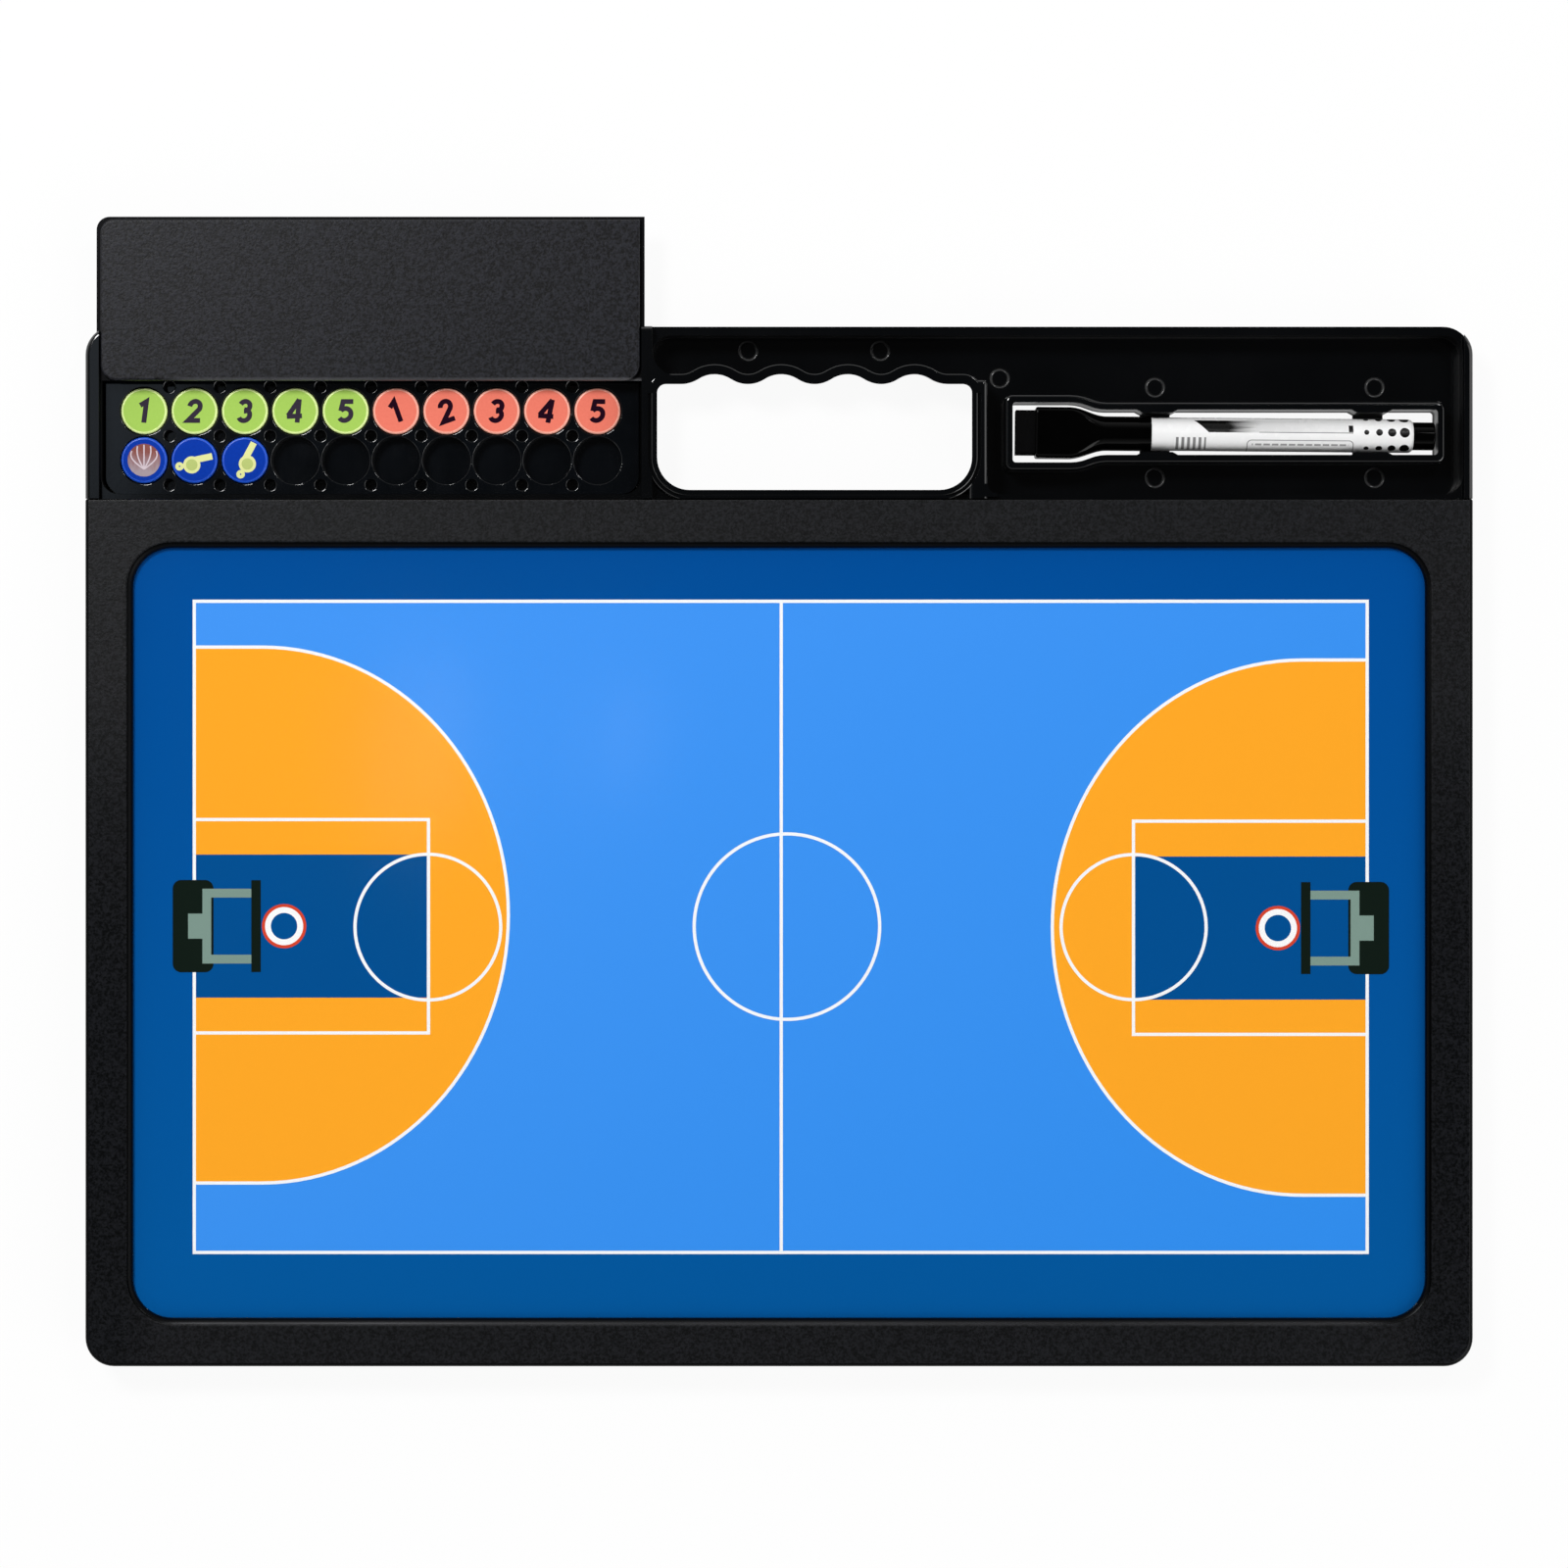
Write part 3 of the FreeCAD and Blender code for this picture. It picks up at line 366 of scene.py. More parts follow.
sheet_low, sheet_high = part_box("court_print")
apron_ink, floor_ink, zone_ink, lane_ink, line_ink, goal_ink, steel_ink = (
    Layer(sheet_high.z + k * INK) for k in range(7))
rim_ink = Layer(goal_ink.low)
net_ink = Layer(goal_ink.low)
apron_ink.plate(round_rectangle(sheet_low.x / MM + MARGIN, sheet_high.x / MM - MARGIN,
                                sheet_low.y / MM + MARGIN, sheet_high.y / MM - MARGIN, MARGIN_CORNER))
floor_ink.plate(rectangle(COURT_LEFT, COURT_RIGHT, COURT_LOW, COURT_HIGH))
for end in ENDS.values():
    zone = zone_outline(end)
    zone_ink.plate(zone if end["side"] < 0 else zone[::-1])
    line_ink.line(zone, LINE)
    lane_ink.plate(rectangle(*spread(end["edge"], end["key"]), end["lane_low"], end["lane_high"]))
    line_ink.line([Vector((end["edge"], end["key_low"])), Vector((end["key"], end["key_low"])),
                   Vector((end["key"], end["key_high"])), Vector((end["edge"], end["key_high"]))], LINE)
    line_ink.line(circle(*end["circle"], end["circle_radius"]), LINE, closed=True)
    # the goal, from its base behind the edge line to the backboard
    rim_ink.line(circle(*end["hoop"], (HOOP_OUTER + HOOP_RED) / 2), HOOP_OUTER - HOOP_RED, closed=True)
    net_ink.line(circle(*end["hoop"], (HOOP_RED + HOOP_WHITE) / 2), HOOP_RED - HOOP_WHITE, closed=True)
    inward = -end["side"]
    back, middle = end["goal"], end["hoop"][1]
    bar_x = back + inward * MAST_END
    tip_x = back + inward * ARM_REACH
    goal_ink.plate(round_rectangle(*spread(back, back + inward * GOAL_BASE),
                                   middle - GOAL_HALF, middle + GOAL_HALF, GOAL_CORNER))
    goal_ink.plate(rectangle(*spread(tip_x, tip_x + inward * BOARD),
                             middle - BOARD_HALF, middle + BOARD_HALF))
    arm_y = ARM_OUTER - ARM / 2
    bar_middle = bar_x + inward * GOAL_BAR / 2
    steel_ink.line([Vector((tip_x, middle - arm_y)), Vector((bar_middle, middle - arm_y)),
                    Vector((bar_middle, middle + arm_y)), Vector((tip_x, middle + arm_y))], GOAL_BAR)
    steel_ink.plate(rectangle(*spread(back + inward * MAST_START, bar_x),
                              middle - MAST_HALF, middle + MAST_HALF))
half = LINE / 2
line_ink.line(rectangle(COURT_LEFT, COURT_RIGHT, COURT_LOW, COURT_HIGH), LINE, closed=True)
line_ink.plate(rectangle(HALFWAY - half, HALFWAY + half, COURT_LOW, COURT_HIGH))
line_ink.line(circle(*CENTRE, CENTRE_RADIUS), LINE, closed=True)

deep_blue = shaded_print("ink_deep_blue", paint(1, 77, 153), paint(3, 89, 159), (0.0, 1.0))
light_blue = shaded_print("ink_light_blue", paint(70, 151, 244), paint(48, 143, 239), (0.5, 0.5))
apron_ink.piece("ink_apron", deep_blue, "case", "court_print")
floor_ink.piece("ink_floor", light_blue, "case", "court_print")
zone_ink.piece("ink_zones", printed("ink_orange", paint(255, 169, 40), 0.04), "case", "court_print")
lane_ink.piece("ink_lanes", printed("ink_dark_blue", paint(2, 79, 145)), "case", "court_print")
line_ink.piece("ink_lines", printed("ink_white", paint(246, 248, 250), 0.02), "case", "court_print")
goal_ink.piece("ink_goals", printed("ink_black_green", paint(17, 28, 22)), "case", "court_print")
steel_ink.piece("ink_goal_frames", printed("ink_grey_green", paint(125, 150, 140)), "case", "court_print")
rim_ink.piece("ink_rims", printed("ink_red", paint(214, 70, 45)), "case", "court_print")
net_ink.piece("ink_nets", printed("ink_net_white", paint(250, 250, 250), 0.02), "case", "court_print")

# Clear film
# A clear glossy plastic film over the print, which a dry marker writes on and wipes off.
# It mirrors a little of the room and carries faint wiping marks.
MIRROR_SHARE = 0.04
film = Finish("clear_film", {"Base Color": paint(246, 250, 255), "Metallic": 1.0})
wiping = film.cloud(30 * MM, 3.0, (1.0, 0.25, 1.0))
film.vary({"Roughness": 0.05 + 0.10 * wiping})
clear = film.node("ShaderNodeBsdfTransparent", {}, {})
layered = film.node("ShaderNodeMixShader", {},
                    {0: MIRROR_SHARE, 1: clear, 2: Wire(film, film.surface.outputs["BSDF"])})
film.feed(film.tree.nodes["Material Output"], {"Surface": layered})
dress("clear_film", film)

# Front frame
# The bezel over the lower part of the case, moulded from black plastic in a mould with a fine spark grain.
# The grain breaks the light into small pale specks. Hands have polished it at both sides.
# A pale highlight is painted along the window's lower edge.
LARGE_PIT, SMALL_PIT, GRAIN_DEPTH = 1.2 * MM, 0.7 * MM, 0.07 * MM
GRAIN_ROUGH = 0.38
SPECK_START, SPECK_SPAN = 0.41, 0.18
# how much of their sheen the smooth edges lose
EDGE_DEADENED = 0.8
HOLD_SIDE, HOLD_MIDDLE, HOLD_REACH = 190 * MM, -75 * MM, 120 * MM
SIDE_FADE = 12 * MM
# how much faster the pits wear down than the roughness, where hands polish the grain
PIT_WEAR = 4.0
# a pale highlight painted along one long edge: its width, how far below the grained face it reaches, the size
# of its patches and its colour
HIGHLIGHT_WIDTH, HIGHLIGHT_DEPTH, HIGHLIGHT_PATCH = 1.0 * MM, 0.6 * MM, 50 * MM
HIGHLIGHT_TONE = paint(110, 110, 113)


def grained_black(name, dark, pale, smooth_level, highlight_edge, highlight_strength, polish=0.0):
    """Matte plastic with a fine irregular grain. Below one level its edges are smooth and dead black.
    A pale highlight is painted along one long edge, and hands may polish the sides."""
    finish = Finish(name, {"IOR": 1.5, "Specular IOR Level": 0.2})
    across, up, out = finish.axes()
    grained = out > smooth_level
    pits = (finish.cloud(LARGE_PIT, 2.0) + finish.cloud(SMALL_PIT, 2.0)) / 2
    specks = ((pits - SPECK_START) / SPECK_SPAN).share()
    from_hand = (up - HOLD_MIDDLE) / HOLD_REACH
    beside = ((abs(across) - HOLD_SIDE) / SIDE_FADE).share()
    held = beside * (1.0 - from_hand * from_hand).share()
    between = ((HOLD_SIDE - abs(across)) / SIDE_FADE).share()
    # a pale highlight painted in patches along one long edge, kept off the polished sides
    painted_highlight = (1.0 - abs(up - highlight_edge) / HIGHLIGHT_WIDTH).share() * (out > smooth_level - HIGHLIGHT_DEPTH)
    painted_highlight = highlight_strength * painted_highlight * between * finish.cloud(HIGHLIGHT_PATCH)
    tone = finish.blend(grained * specks, dark, pale)
    finish.vary({"Base Color": finish.blend(painted_highlight, tone, HIGHLIGHT_TONE),
                 "Metallic": EDGE_DEADENED * (1.0 - grained) * (1.0 - painted_highlight),
                 "Roughness": GRAIN_ROUGH + 0.12 * (pits - 0.5) - polish * held})
    finish.relief(grained * pits * (1.0 - PIT_WEAR * polish * held), GRAIN_DEPTH)
    return finish


FACE_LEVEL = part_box("front_frame")[1].z - 0.06 * MM
# the window's lower edge, along which a pale highlight is painted
WINDOW_LOW = -146.1 * MM
dress("front_frame", grained_black("frame_grain", paint(10, 11, 12), paint(25, 26, 29), FACE_LEVEL,
                                   WINDOW_LOW, highlight_strength=0.25, polish=0.2))

# Case screws
# Ten pan-head screws with a cross recess, bright zinc on steel, driven up through the back.
# Turned marks run round the heads.
screw = Finish("zinc_plate", {"Metallic": 1.0})
turned = screw.cloud(0.4 * MM, 4.0)
screw.vary({"Base Color": screw.blend(turned, paint(150, 152, 155), paint(198, 200, 202)),
            "Roughness": 0.3 + 0.2 * turned})
screw.relief(turned, 0.02 * MM)
dress("case_screws", screw)

# Magnet tray
# Moulded insert with round pockets, in the same polished black plastic as the shell, pushed into its bay.
# Faint paler smears lie across it.
dress("magnet_tray", polished_black("tray_gloss", paint(2, 4, 6), paint(8, 11, 16), 9 * MM))

# Tokens
# Thirteen magnets in round plastic cups: five green, five coral, and three blue ones for ball and referees.
# A printed label is set into each top, and a ferrite disc is pressed into each base.
TEAMS = {"home": "green", "away": "coral"}
# for each colour: rim, painted paler than the label as a highlight on the cup's rounded edge, label and its
# deeper tone
COLOURS = {"green": (paint(236, 255, 172), paint(172, 210, 98), paint(162, 203, 88)),
           "coral": (paint(255, 184, 164), paint(241, 130, 110), paint(233, 117, 97)),
           "blue": (paint(24, 84, 206), paint(4, 60, 176), paint(2, 48, 152))}
DIGIT_INKS = {"green": paint(54, 47, 60), "coral": paint(32, 10, 26)}
DIGIT_MOTTLE, DIGIT_SPECK = 0.3, 0.4 * MM
# width of a number's strokes in millimetres, and how much it is enlarged and slanted
DIGIT_WIDTH, DIGIT_SIZE, DIGIT_SLANT = 1.5, 1.12, 0.13
# how far each token has turned in its pocket, in degrees
TURNED = {"home": (0, 0, 0, 2, 0), "away": (27, 20, -2, -4, 0)}


def cup_plastic(name, colour, deep):
    """Moulded plastic with a faint flow pattern."""
    finish = Finish(name, {"IOR": 1.48})
    flow = finish.cloud(3 * MM, 3.0)
    finish.vary({"Base Color": finish.blend(0.4 * flow, colour, deep), "Roughness": 0.3 + 0.12 * flow})
    finish.relief(finish.cloud(0.5 * MM, 2.0), 0.01 * MM)
    return finish


def label_paper(name, colour, deep):
    """Printed label under a thin gloss, with small scuffs."""
    finish = Finish(name, {"Specular IOR Level": 0.05})
    fibre = finish.cloud(0.7 * MM, 3.0)
    scuff = finish.cloud(1.2 * MM, 2.0, (1.0, 0.3, 1.0))
    finish.vary({"Base Color": finish.blend(fibre, deep, colour), "Roughness": 0.3 + 0.2 * scuff})
    return finish


ferrite = Finish("ferrite", {"IOR": 1.6})
sinter = ferrite.cloud(0.35 * MM, 3.0)
ferrite.vary({"Base Color": ferrite.blend(sinter, paint(38, 38, 41), paint(70, 70, 74)),
              "Roughness": 0.55 + 0.2 * sinter})
ferrite.relief(sinter, 0.03 * MM)


def middle_of(node):
    """The middle of a piece and the level of its top."""
    low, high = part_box(node)
    return (low + high) / 2, high.z


def arc(x, y, radius, first, last, count=20):
    """Points round a circle from one angle to another, in degrees."""
    turns = [math.radians(first + (last - first) * k / count) for k in range(count + 1)]
    return [Vector((x + radius * math.cos(t), y + radius * math.sin(t))) for t in turns]


def corners(*places):
    return [Vector(place) for place in places]


# the strokes of each number, in millimetres from its middle
STROKES = {
    1: [corners((-1.25, 1.55), (0.35, 2.6), (0.35, -3.2))],
    2: [[*arc(0.0, 1.2, 1.45, 175, -35), *corners((-1.4, -2.6), (1.9, -2.6))]],
    3: [arc(-0.1, 1.3, 1.35, 155, -95), arc(0.0, -1.15, 1.5, 95, -155)],
    4: [corners((2.0, -1.4), (-2.15, -1.4)), corners((-1.8, -1.2), (0.85, 3.1)),
        corners((0.85, 3.2), (0.85, -3.2))],
    5: [corners((1.8, 2.6), (-1.0, 2.6), (-1.3, 0.0)), arc(-0.05, -0.95, 1.65, 140, -145)],
}


def digit(token, colour, number, turn, ink):
    """A slanted number printed in the middle of a token's label."""
    centre, top = middle_of(f"token_{token}_label")
    angle = math.radians(turn)
    print_layer = Layer(top)
    for stroke in STROKES[number]:
        path = []
        for point in stroke:
            x, y = DIGIT_SIZE * (point.x + DIGIT_SLANT * point.y), DIGIT_SIZE * point.y
            path.append(Vector((centre.x / MM + x * math.cos(angle) - y * math.sin(angle),
                                centre.y / MM + x * math.sin(angle) + y * math.cos(angle))))
        print_layer.line(path, DIGIT_WIDTH)
    print_layer.piece(f"digit_{token}", ink, f"token_{token}", f"token_{colour}_label")


finishes = {}
# each cup takes the paler rim colour, a painted highlight on its rounded edge
for colour, (rim_highlight, label, deep) in COLOURS.items():
    finishes[colour] = (cup_plastic(f"{colour}_cup", rim_highlight, label), label_paper(f"{colour}_label", label, deep))


def dress_token(token, colour):
    cup, label = finishes[colour]
    dress(f"token_{token}_cup", cup)
    dress(f"token_{token}_label", label)
    dress(f"token_{token}_magnet", ferrite)


for team, colour in TEAMS.items():
    digit_ink = printed(f"{colour}_digit", DIGIT_INKS[colour], DIGIT_MOTTLE, DIGIT_SPECK)
    for number, turn in enumerate(TURNED[team], 1):
        token = f"{team}_{number}"
        dress_token(token, colour)
        digit(token, colour, number, turn, digit_ink)
for token in ("ball", "referee_1", "referee_2"):
    dress_token(token, "blue")

# Ball picture
# The ball token's print: a red-brown ball with pale seams that meet near its foot.
# It is printed flat on the label, and has worn pale towards the foot.
BALL_RADIUS, SEAM = 5.05, 0.42
# where the seams start and end and how they bow and spread, in shares of the radius
SEAM_FOOT, SEAM_TOP, SEAM_BOW = -0.55, 0.94, 0.62
SEAM_SPREADS = (-0.8, -0.42, 0.0, 0.42, 0.8)
SEAM_STEPS = 16
centre, top = middle_of("token_ball_label")
ball_x, ball_y = centre.x / MM, centre.y / MM
ball_ink = Layer(top)
ball_ink.plate(circle(ball_x, ball_y, BALL_RADIUS, 64))
ball_face = Finish("ball_print", {"Roughness": 0.45, "Specular IOR Level": 0.1})
_, up, _ = ball_face.axes()
rise = ((up - centre.y) / (2 * BALL_RADIUS * MM) + 0.5).share()
leather = ball_face.blend(0.35 * ball_face.cloud(0.6 * MM, 3.0), paint(122, 58, 50), paint(190, 136, 128))
scuffs = ball_face.cloud(0.9 * MM, 3.0, (1.0, 0.3, 1.0))
ink_left = (0.5 + 1.6 * (rise - 0.45) + 0.8 * (scuffs - 0.5)).share()
ball_face.vary({"Base Color": ball_face.blend(ink_left, paint(168, 152, 160), leather)})
ball_ink.piece("ball_print", ball_face, "token_ball", "token_blue_label")
seam_ink = Layer(top + INK)
for lean in SEAM_SPREADS:
    path = []
    for k in range(SEAM_STEPS + 1):
        t = k / SEAM_STEPS
        bow = lean * math.sin(math.pi * t * SEAM_BOW)
        height = SEAM_FOOT + t * (SEAM_TOP * math.sqrt(1 - lean * lean) - SEAM_FOOT)
        path.append(Vector((ball_x + bow * BALL_RADIUS, ball_y + height * BALL_RADIUS)))
    seam_ink.line(path, SEAM)
seam_ink.piece("ball_seams", printed("seam_pale", paint(214, 198, 206)), "token_ball", "token_blue_label")

# Whistle pictures
# The referee tokens' print: a pale whistle seen from its side, with a round body, a mouthpiece and a ring.
# It is printed flat on the label in two inks. Each token has turned its own way in its pocket.
WHISTLE_BODY, WHISTLE_FACE = 2.65, 1.75
MOUTH_END, MOUTH_WIDTH, MOUTH_SIDE, MOUTH_LEAN = 6.7, 2.0, 1.3, math.radians(5)
RING_RADIUS, RING_WIRE, RING_OUT = 0.78, 1.05, 3.8
# place of the body on its label, and which way the whistle points
WHISTLES = {"referee_1": (-0.8, -1.45, math.radians(7)), "referee_2": (0.8, -1.15, math.radians(57))}
whistle_pale = printed("whistle_pale", paint(226, 230, 158))
whistle_dark = printed("whistle_green", paint(186, 200, 120))
for token, (x, y, turn) in WHISTLES.items():
    centre, top = middle_of(f"token_{token}_label")
    body = Vector((centre.x / MM + x, centre.y / MM + y))
    along = Vector((math.cos(turn), math.sin(turn)))
    mouth = Vector((math.cos(turn + MOUTH_LEAN), math.sin(turn + MOUTH_LEAN)))
    beside = body + Vector((-mouth.y, mouth.x)) * MOUTH_SIDE
    picture = Layer(top)
    picture.line([beside, beside + mouth * MOUTH_END], MOUTH_WIDTH)
    picture.line(circle(*(body - along * RING_OUT), RING_RADIUS, 32), RING_WIRE, closed=True)
    picture.plate(circle(*body, WHISTLE_BODY, 48))
    picture.piece(f"whistle_{token}", whistle_pale, f"token_{token}", "token_blue_label")
    face = Layer(top + 2 * INK)
    face.plate(circle(*body, WHISTLE_FACE, 40))
    face.piece(f"whistle_face_{token}", whistle_dark, f"token_{token}", "token_blue_label")

# Storage lid
# A flat lid that slides in two grooves over the tray, moulded from black plastic with the frame's grain.
# It stands open. Only its raised pad is grained: the plate round it, which runs in the grooves, is smooth.
# A pale highlight is painted along its lower edge.
PLATE_TOP = 14.3 * MM
# the lid's lower edge, along which a pale highlight is painted
LID_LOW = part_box("storage_lid")[0].y
dress("storage_lid", grained_black("lid_grain", paint(8, 8, 10), paint(31, 32, 38), PLATE_TOP,
                                   LID_LOW, highlight_strength=1.0))

# Marker
# A slim dry-wipe marker: white barrel with a printed bar, dots and ticks, black cap and plug, felt block.
# Inside are a fibre core, a nib and its holder. The pieces are pressed together.
# the print's sizes, and its places along and round the barrel, in millimetres
PRINT_EDGE = 0.12
BAR_START, BAR_SOLID, BAR_FADED, BAR_END = 13.0, 24.0, 33.0, 62.0
BAR_LOW, BAR_HIGH = 0.25, 4.8
BAR_LINE = 0.35
STOP_START, STOP_LOW, STOP_HIGH = 60.5, 0.6, 3.0
DOT_START, DOT_PITCH, DOT_COLUMNS = 64.1, 3.9, 4
DOT_SMALL, DOT_GROWTH, DOT_ROWS = 0.78, 0.25, 6
DOT_TURN = math.radians(8)
TICK_START, TICK_END, TICK_PITCH = 7.4, 16.8, 1.75
TICK_LOW, TICK_HIGH = -6.2, -1.2
BOX_START, BOX_END, BOX_LOW, BOX_HIGH, BOX_CORNER = 29.4, 62.0, -9.0, -2.0, 1.4
BOX_LINE = 0.14
DASH_PITCH, DASH_LOW, DASH_HIGH = 2.6, -3.9, -3.1
# shares of their pitch that half a tick and the gap between two dashes take up
TICK_HALF, DASH_GAP = 0.25, 0.25
# how much ink each mark has, and how much the bar loses along its first and its last stretch
LINE_INK, TICK_INK, BOX_INK, DASH_INK = 0.85, 0.75, 0.7, 0.6
BAR_LOSS, END_LOSS = 0.74, 0.16
barrel_low, barrel_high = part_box("marker_barrel")
barrel_axis = (barrel_low + barrel_high) / 2
barrel_radius = (barrel_high.z - barrel_low.z) / 2 / MM
# the marker lies a little askew, from its barrel to its plug
plug_axis, _ = middle_of("marker_tail_plug")
askew = (plug_axis.y - barrel_axis.y) / (plug_axis.x - barrel_axis.x)

barrel = Finish("barrel_white", {"IOR": 1.5, "Specular IOR Level": 0.3})
across, up, out = barrel.axes()
# how far along the barrel a point lies and how far round it from the top, in millimetres
along = (across - barrel_low.x) / MM
beside = up - barrel_axis.y - askew * (across - barrel_axis.x)
angle = along.math("ARCTAN2", beside, out - barrel_axis.z)
around = angle * barrel_radius


def inside(value, low, high):
    """1 between two edges and 0 outside, with a soft print edge."""
    return ((value - low) / PRINT_EDGE).share() * ((high - value) / PRINT_EDGE).share()


def part_of(value):
    """What is left of a number above its whole part."""
    return value - value.whole()


# a streaky bar that fades along the barrel, with a line under it and a stop at its end
streaks = barrel.cloud(0.5 * MM, 2.0, (0.05, 1.0, 1.0))
faded = BAR_LOSS * ((along - BAR_SOLID) / (BAR_FADED - BAR_SOLID) + streaks - 0.5).share()
faded = faded + END_LOSS * ((along - BAR_FADED) / (BAR_END - BAR_FADED)).share()
slanted = along - BAR_HIGH + around
bar = (1 - faded) * inside(slanted, BAR_START, BAR_END + BAR_HIGH) * inside(along, BAR_START, BAR_END)
bar = bar * inside(around, BAR_LOW, BAR_HIGH)
under_line = LINE_INK * inside(along, BAR_FADED, BAR_END) * inside(around, BAR_LOW, BAR_LOW + BAR_LINE)
stop = inside(along, STOP_START, BAR_END) * inside(around, STOP_LOW, STOP_HIGH)
# dots that grow towards the tail
column = (along - DOT_START) / DOT_PITCH
off_x = (part_of(column) - 0.5) * DOT_PITCH
row_turn = 2 * math.pi / DOT_ROWS
off_y = (part_of((angle - DOT_TURN) / row_turn + 0.5) - 0.5) * row_turn * barrel_radius
reach = (off_x * off_x + off_y * off_y) ** 0.5
dots = ((DOT_SMALL + DOT_GROWTH * column.whole() - reach) / PRINT_EDGE + 0.5).share()
dots = dots * (column > 0.0) * (column < DOT_COLUMNS)
# a row of plain ticks, and an empty outlined box with a row of dashes
ticks = ((TICK_HALF - abs(part_of(along / TICK_PITCH) - 0.5)) * TICK_PITCH / PRINT_EDGE + 0.5).share()
ticks = TICK_INK * ticks * inside(along, TICK_START, TICK_END) * inside(around, TICK_LOW, TICK_HIGH)
past_x = (abs(along - (BOX_START + BOX_END) / 2) - (BOX_END - BOX_START) / 2 + BOX_CORNER).at_least(0.0)
past_y = (abs(around - (BOX_LOW + BOX_HIGH) / 2) - (BOX_HIGH - BOX_LOW) / 2 + BOX_CORNER).at_least(0.0)
box_edge = abs((past_x * past_x + past_y * past_y) ** 0.5 - BOX_CORNER)
box = BOX_INK * ((BOX_LINE - box_edge) / PRINT_EDGE + 0.5).share()
dashes = DASH_INK * (part_of(along / DASH_PITCH) > DASH_GAP) * inside(around, DASH_LOW, DASH_HIGH)
dashes = dashes * inside(along, BOX_START + BOX_CORNER, BOX_END - BOX_CORNER)
ink_share = bar
for mark in (under_line, stop, dots, ticks, box, dashes):
    ink_share = ink_share.at_least(mark)
barrel_tone = barrel.blend(barrel.cloud(8 * MM, 2.0), paint(236, 236, 236), paint(244, 244, 244))
barrel.vary({"Base Color": barrel.blend(ink_share, barrel_tone, paint(4, 4, 4)),
             "Roughness": 0.22 + 0.1 * barrel.cloud(4 * MM, 3.0)})
dress("marker_barrel", barrel)

marker_black = polished_black("marker_black", paint(1, 1, 1), paint(3, 3, 3), 6 * MM,
                              rough=0.02, coat=0.0, shine=0.15)
dress("marker_cap", marker_black)
dress("marker_tail_plug", marker_black)


def fibre(name, dark, pale, size):
    """Pressed fibres."""
    finish = Finish(name, {"Roughness": 0.95, "Specular IOR Level": 0.05})
    strands = finish.cloud(size, 5.0, (1.0, 0.35, 1.0))
    finish.vary({"Base Color": finish.blend(strands, dark, pale)})
    finish.relief(strands, 0.25 * MM)
    return finish


dress("marker_eraser", fibre("black_felt", paint(3, 3, 3), paint(8, 8, 9), 0.6 * MM))
ink_fibre = fibre("ink_fibre", paint(22, 22, 26), paint(44, 44, 50), 0.4 * MM)
dress("marker_nib", ink_fibre)
dress("marker_ink_core", ink_fibre)
dress("marker_nib_holder", cup_plastic("holder_white", paint(226, 226, 224), paint(214, 214, 212)))

# Floor, lamps and camera
# A plain white table under soft lamps: the main one at the upper left, others at the right and in front.
# A faint window and two faint panes above show in the film.
# The camera looks straight down from well above, as the photograph does.
FLOOR_HALF = 4.0
WHITE_SHARE = 0.93
floor_mesh = bpy.data.meshes.new("floor")
floor_mesh.from_pydata([(-FLOOR_HALF, -FLOOR_HALF, 0), (FLOOR_HALF, -FLOOR_HALF, 0),
                        (FLOOR_HALF, FLOOR_HALF, 0), (-FLOOR_HALF, FLOOR_HALF, 0)], [], [(0, 1, 2, 3)])
floor = bpy.data.objects.new("floor", floor_mesh)
bpy.context.scene.collection.objects.link(floor)
table = Finish("table_white", {"Roughness": 0.9})
table.vary({"Base Color": table.blend(table.cloud(0.4, 2.0), paint(240, 240, 240), paint(246, 246, 246))})
ray = table.node("ShaderNodeLightPath", {}, {}, "Is Camera Ray")
ways = ray.socket.node.outputs
seen = (ray + Wire(table, ways["Is Glossy Ray"]) + Wire(table, ways["Is Transmission Ray"])).share()
glow = table.node("ShaderNodeEmission", {}, {"Color": (1.0, 1.0, 1.0, 1.0), "Strength": 1.0})
lit = table.node("ShaderNodeMixShader", {},
                 {0: WHITE_SHARE * seen, 1: Wire(table, table.surface.outputs["BSDF"]), 2: glow})
table.feed(table.tree.nodes["Material Output"], {"Surface": lit})
floor_mesh.materials.append(table.material)

LAMP_TARGET = Vector((0.0, 0.02, 0.0))
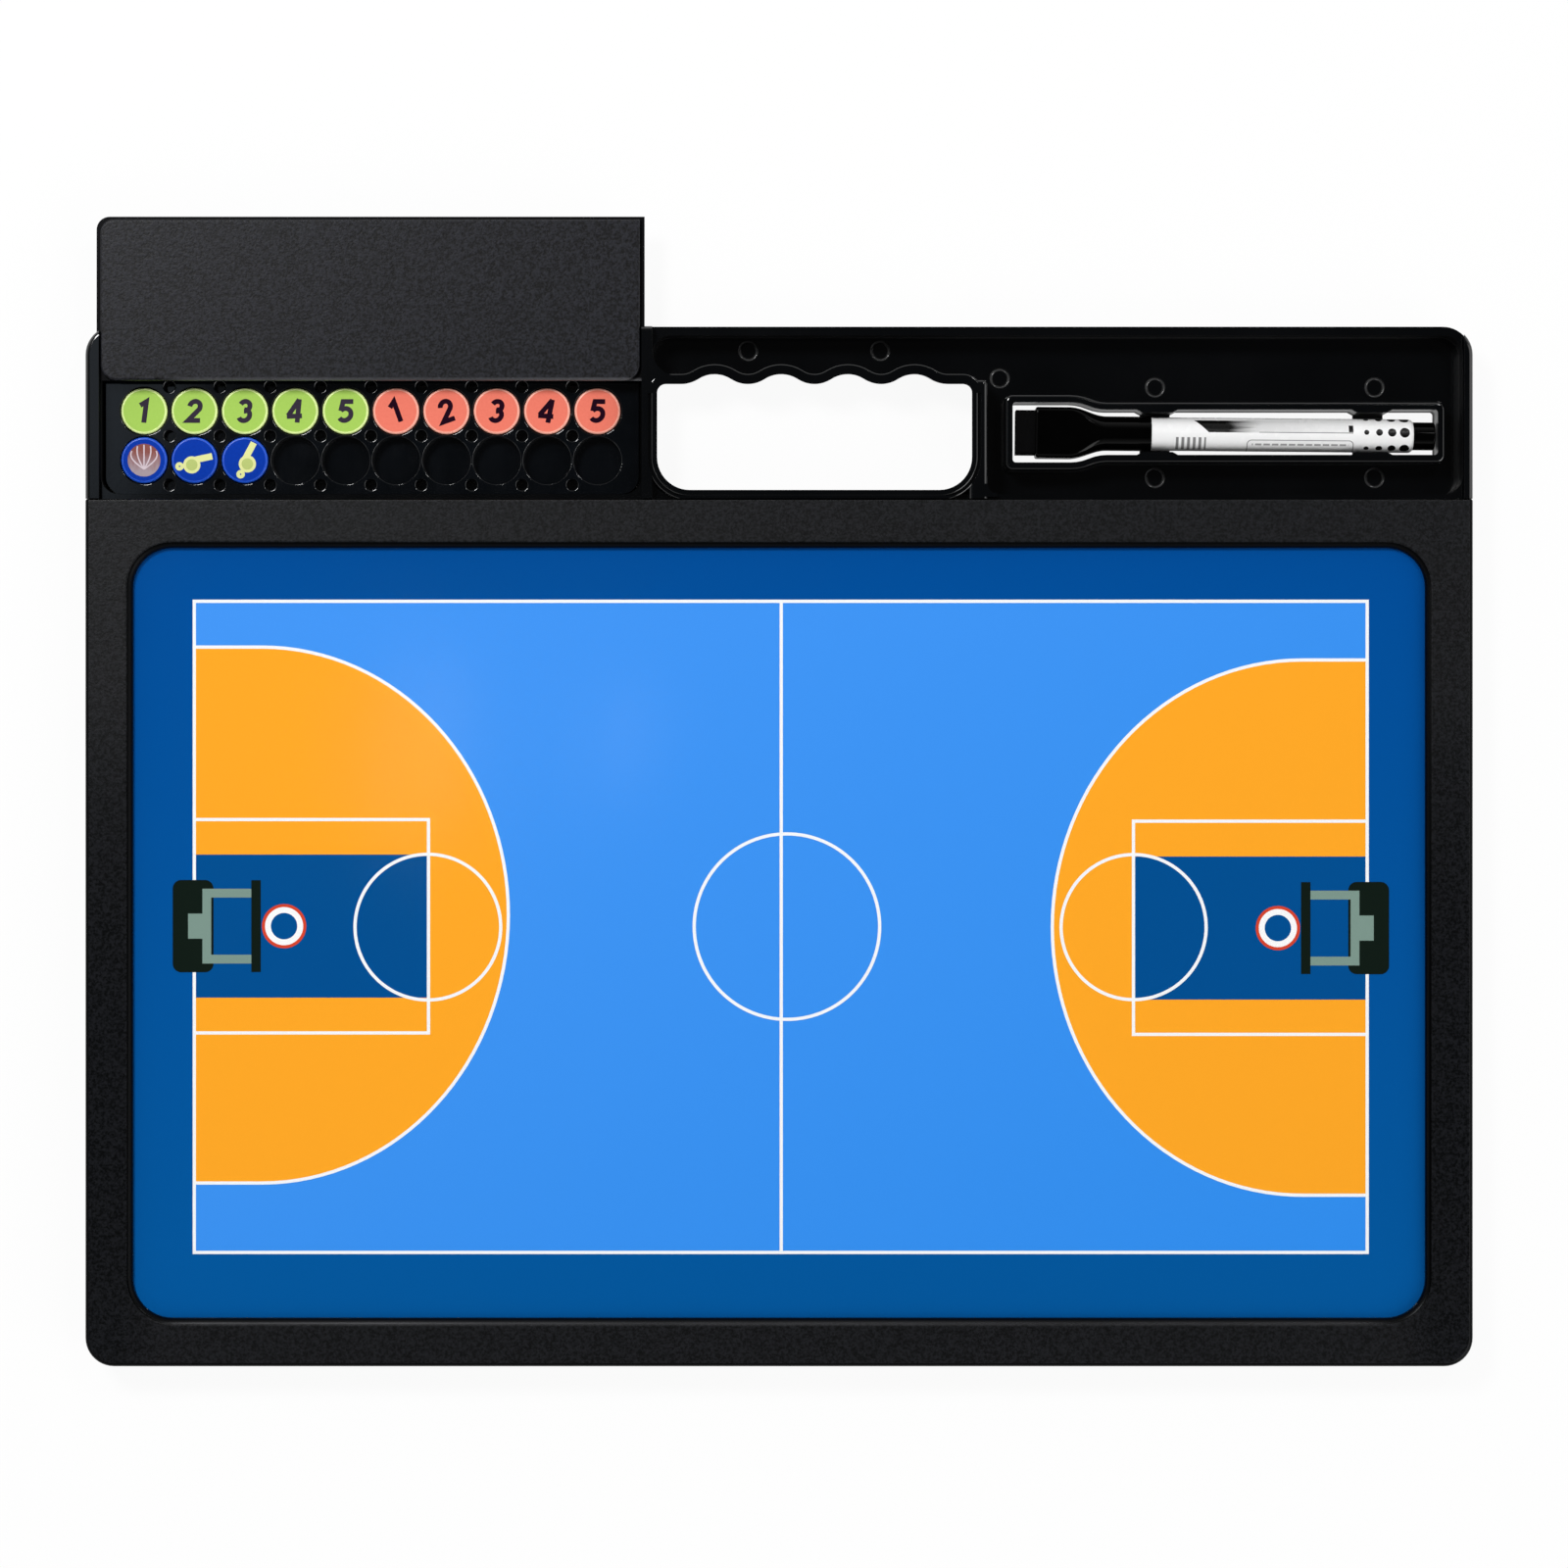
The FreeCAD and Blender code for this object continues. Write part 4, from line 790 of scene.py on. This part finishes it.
# for each lamp: place, width, height, power and colour
LAMPS = {"main": (Vector((-0.72, 0.85, 1.55)), 0.45, 0.45, 21.5, (1.0, 1.0, 1.0)),
         "second": (Vector((0.60, 0.90, 1.50)), 0.22, 0.3, 4.0, (1.0, 1.0, 1.0)),
         "low": (Vector((2.10, -1.50, 1.70)), 2.0, 2.0, 32.0, (1.0, 1.0, 1.0)),
         "side": (Vector((1.90, 0.25, 1.35)), 1.2, 1.6, 5.1, (1.0, 1.0, 1.0)),
         "window": (Vector((-0.54, 0.33, 2.0)), 0.2, 0.2, 0.045, (0.72, 0.85, 1.0)),
         "pane": (Vector((-0.267, 0.05, 2.0)), 0.12, 0.05, 0.026, (1.0, 1.0, 1.0)),
         "next pane": (Vector((-0.123, 0.052, 2.0)), 0.08, 0.045, 0.01, (1.0, 1.0, 1.0))}
for name, (at, wide, high, power, colour) in LAMPS.items():
    lamp = bpy.data.lights.new(name, "AREA")
    lamp.shape = "RECTANGLE"
    lamp.size = wide
    lamp.size_y = high
    lamp.energy = power
    lamp.color = colour
    stand = bpy.data.objects.new(name, lamp)
    stand.location = at
    stand.rotation_euler = (LAMP_TARGET - at).to_track_quat("-Z", "Y").to_euler()
    bpy.context.scene.collection.objects.link(stand)

# a room with pale walls and a dark ceiling
WALL_LIGHT, CEILING_LIGHT = 0.9, 0.02
WALL_TOP, CEILING_EDGE = 0.15, 0.85


class Room(Finish):
    """The light that comes from all round."""

    def __init__(self, name):
        bpy.context.scene.world = bpy.data.worlds.new(name)
        self.set_up(bpy.context.scene.world, "Background", {"Color": (1.0, 1.0, 1.0, 1.0)})


room = Room("room")
direction = room.node("ShaderNodeTexCoord", {}, {}, "Generated")
height = room.node("ShaderNodeSeparateXYZ", {}, {0: direction}, "Z")
ceiling = ((height - WALL_TOP) / (CEILING_EDGE - WALL_TOP)).share()
room.vary({"Strength": WALL_LIGHT + (CEILING_LIGHT - WALL_LIGHT) * ceiling})

VIEW_MIDDLE = Vector((1.5, 19.05)) * MM
VIEW_WIDTH, VIEW_DISTANCE = 480 * MM, 1400 * MM
camera = bpy.data.cameras.new("camera")
camera.sensor_width = 36.0
camera.lens = camera.sensor_width * VIEW_DISTANCE / VIEW_WIDTH
camera_stand = bpy.data.objects.new("camera", camera)
camera_stand.location = (*VIEW_MIDDLE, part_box("front_frame")[1].z + VIEW_DISTANCE)
bpy.context.scene.collection.objects.link(camera_stand)
bpy.context.scene.camera = camera_stand
bpy.context.scene.view_settings.view_transform = "Standard"
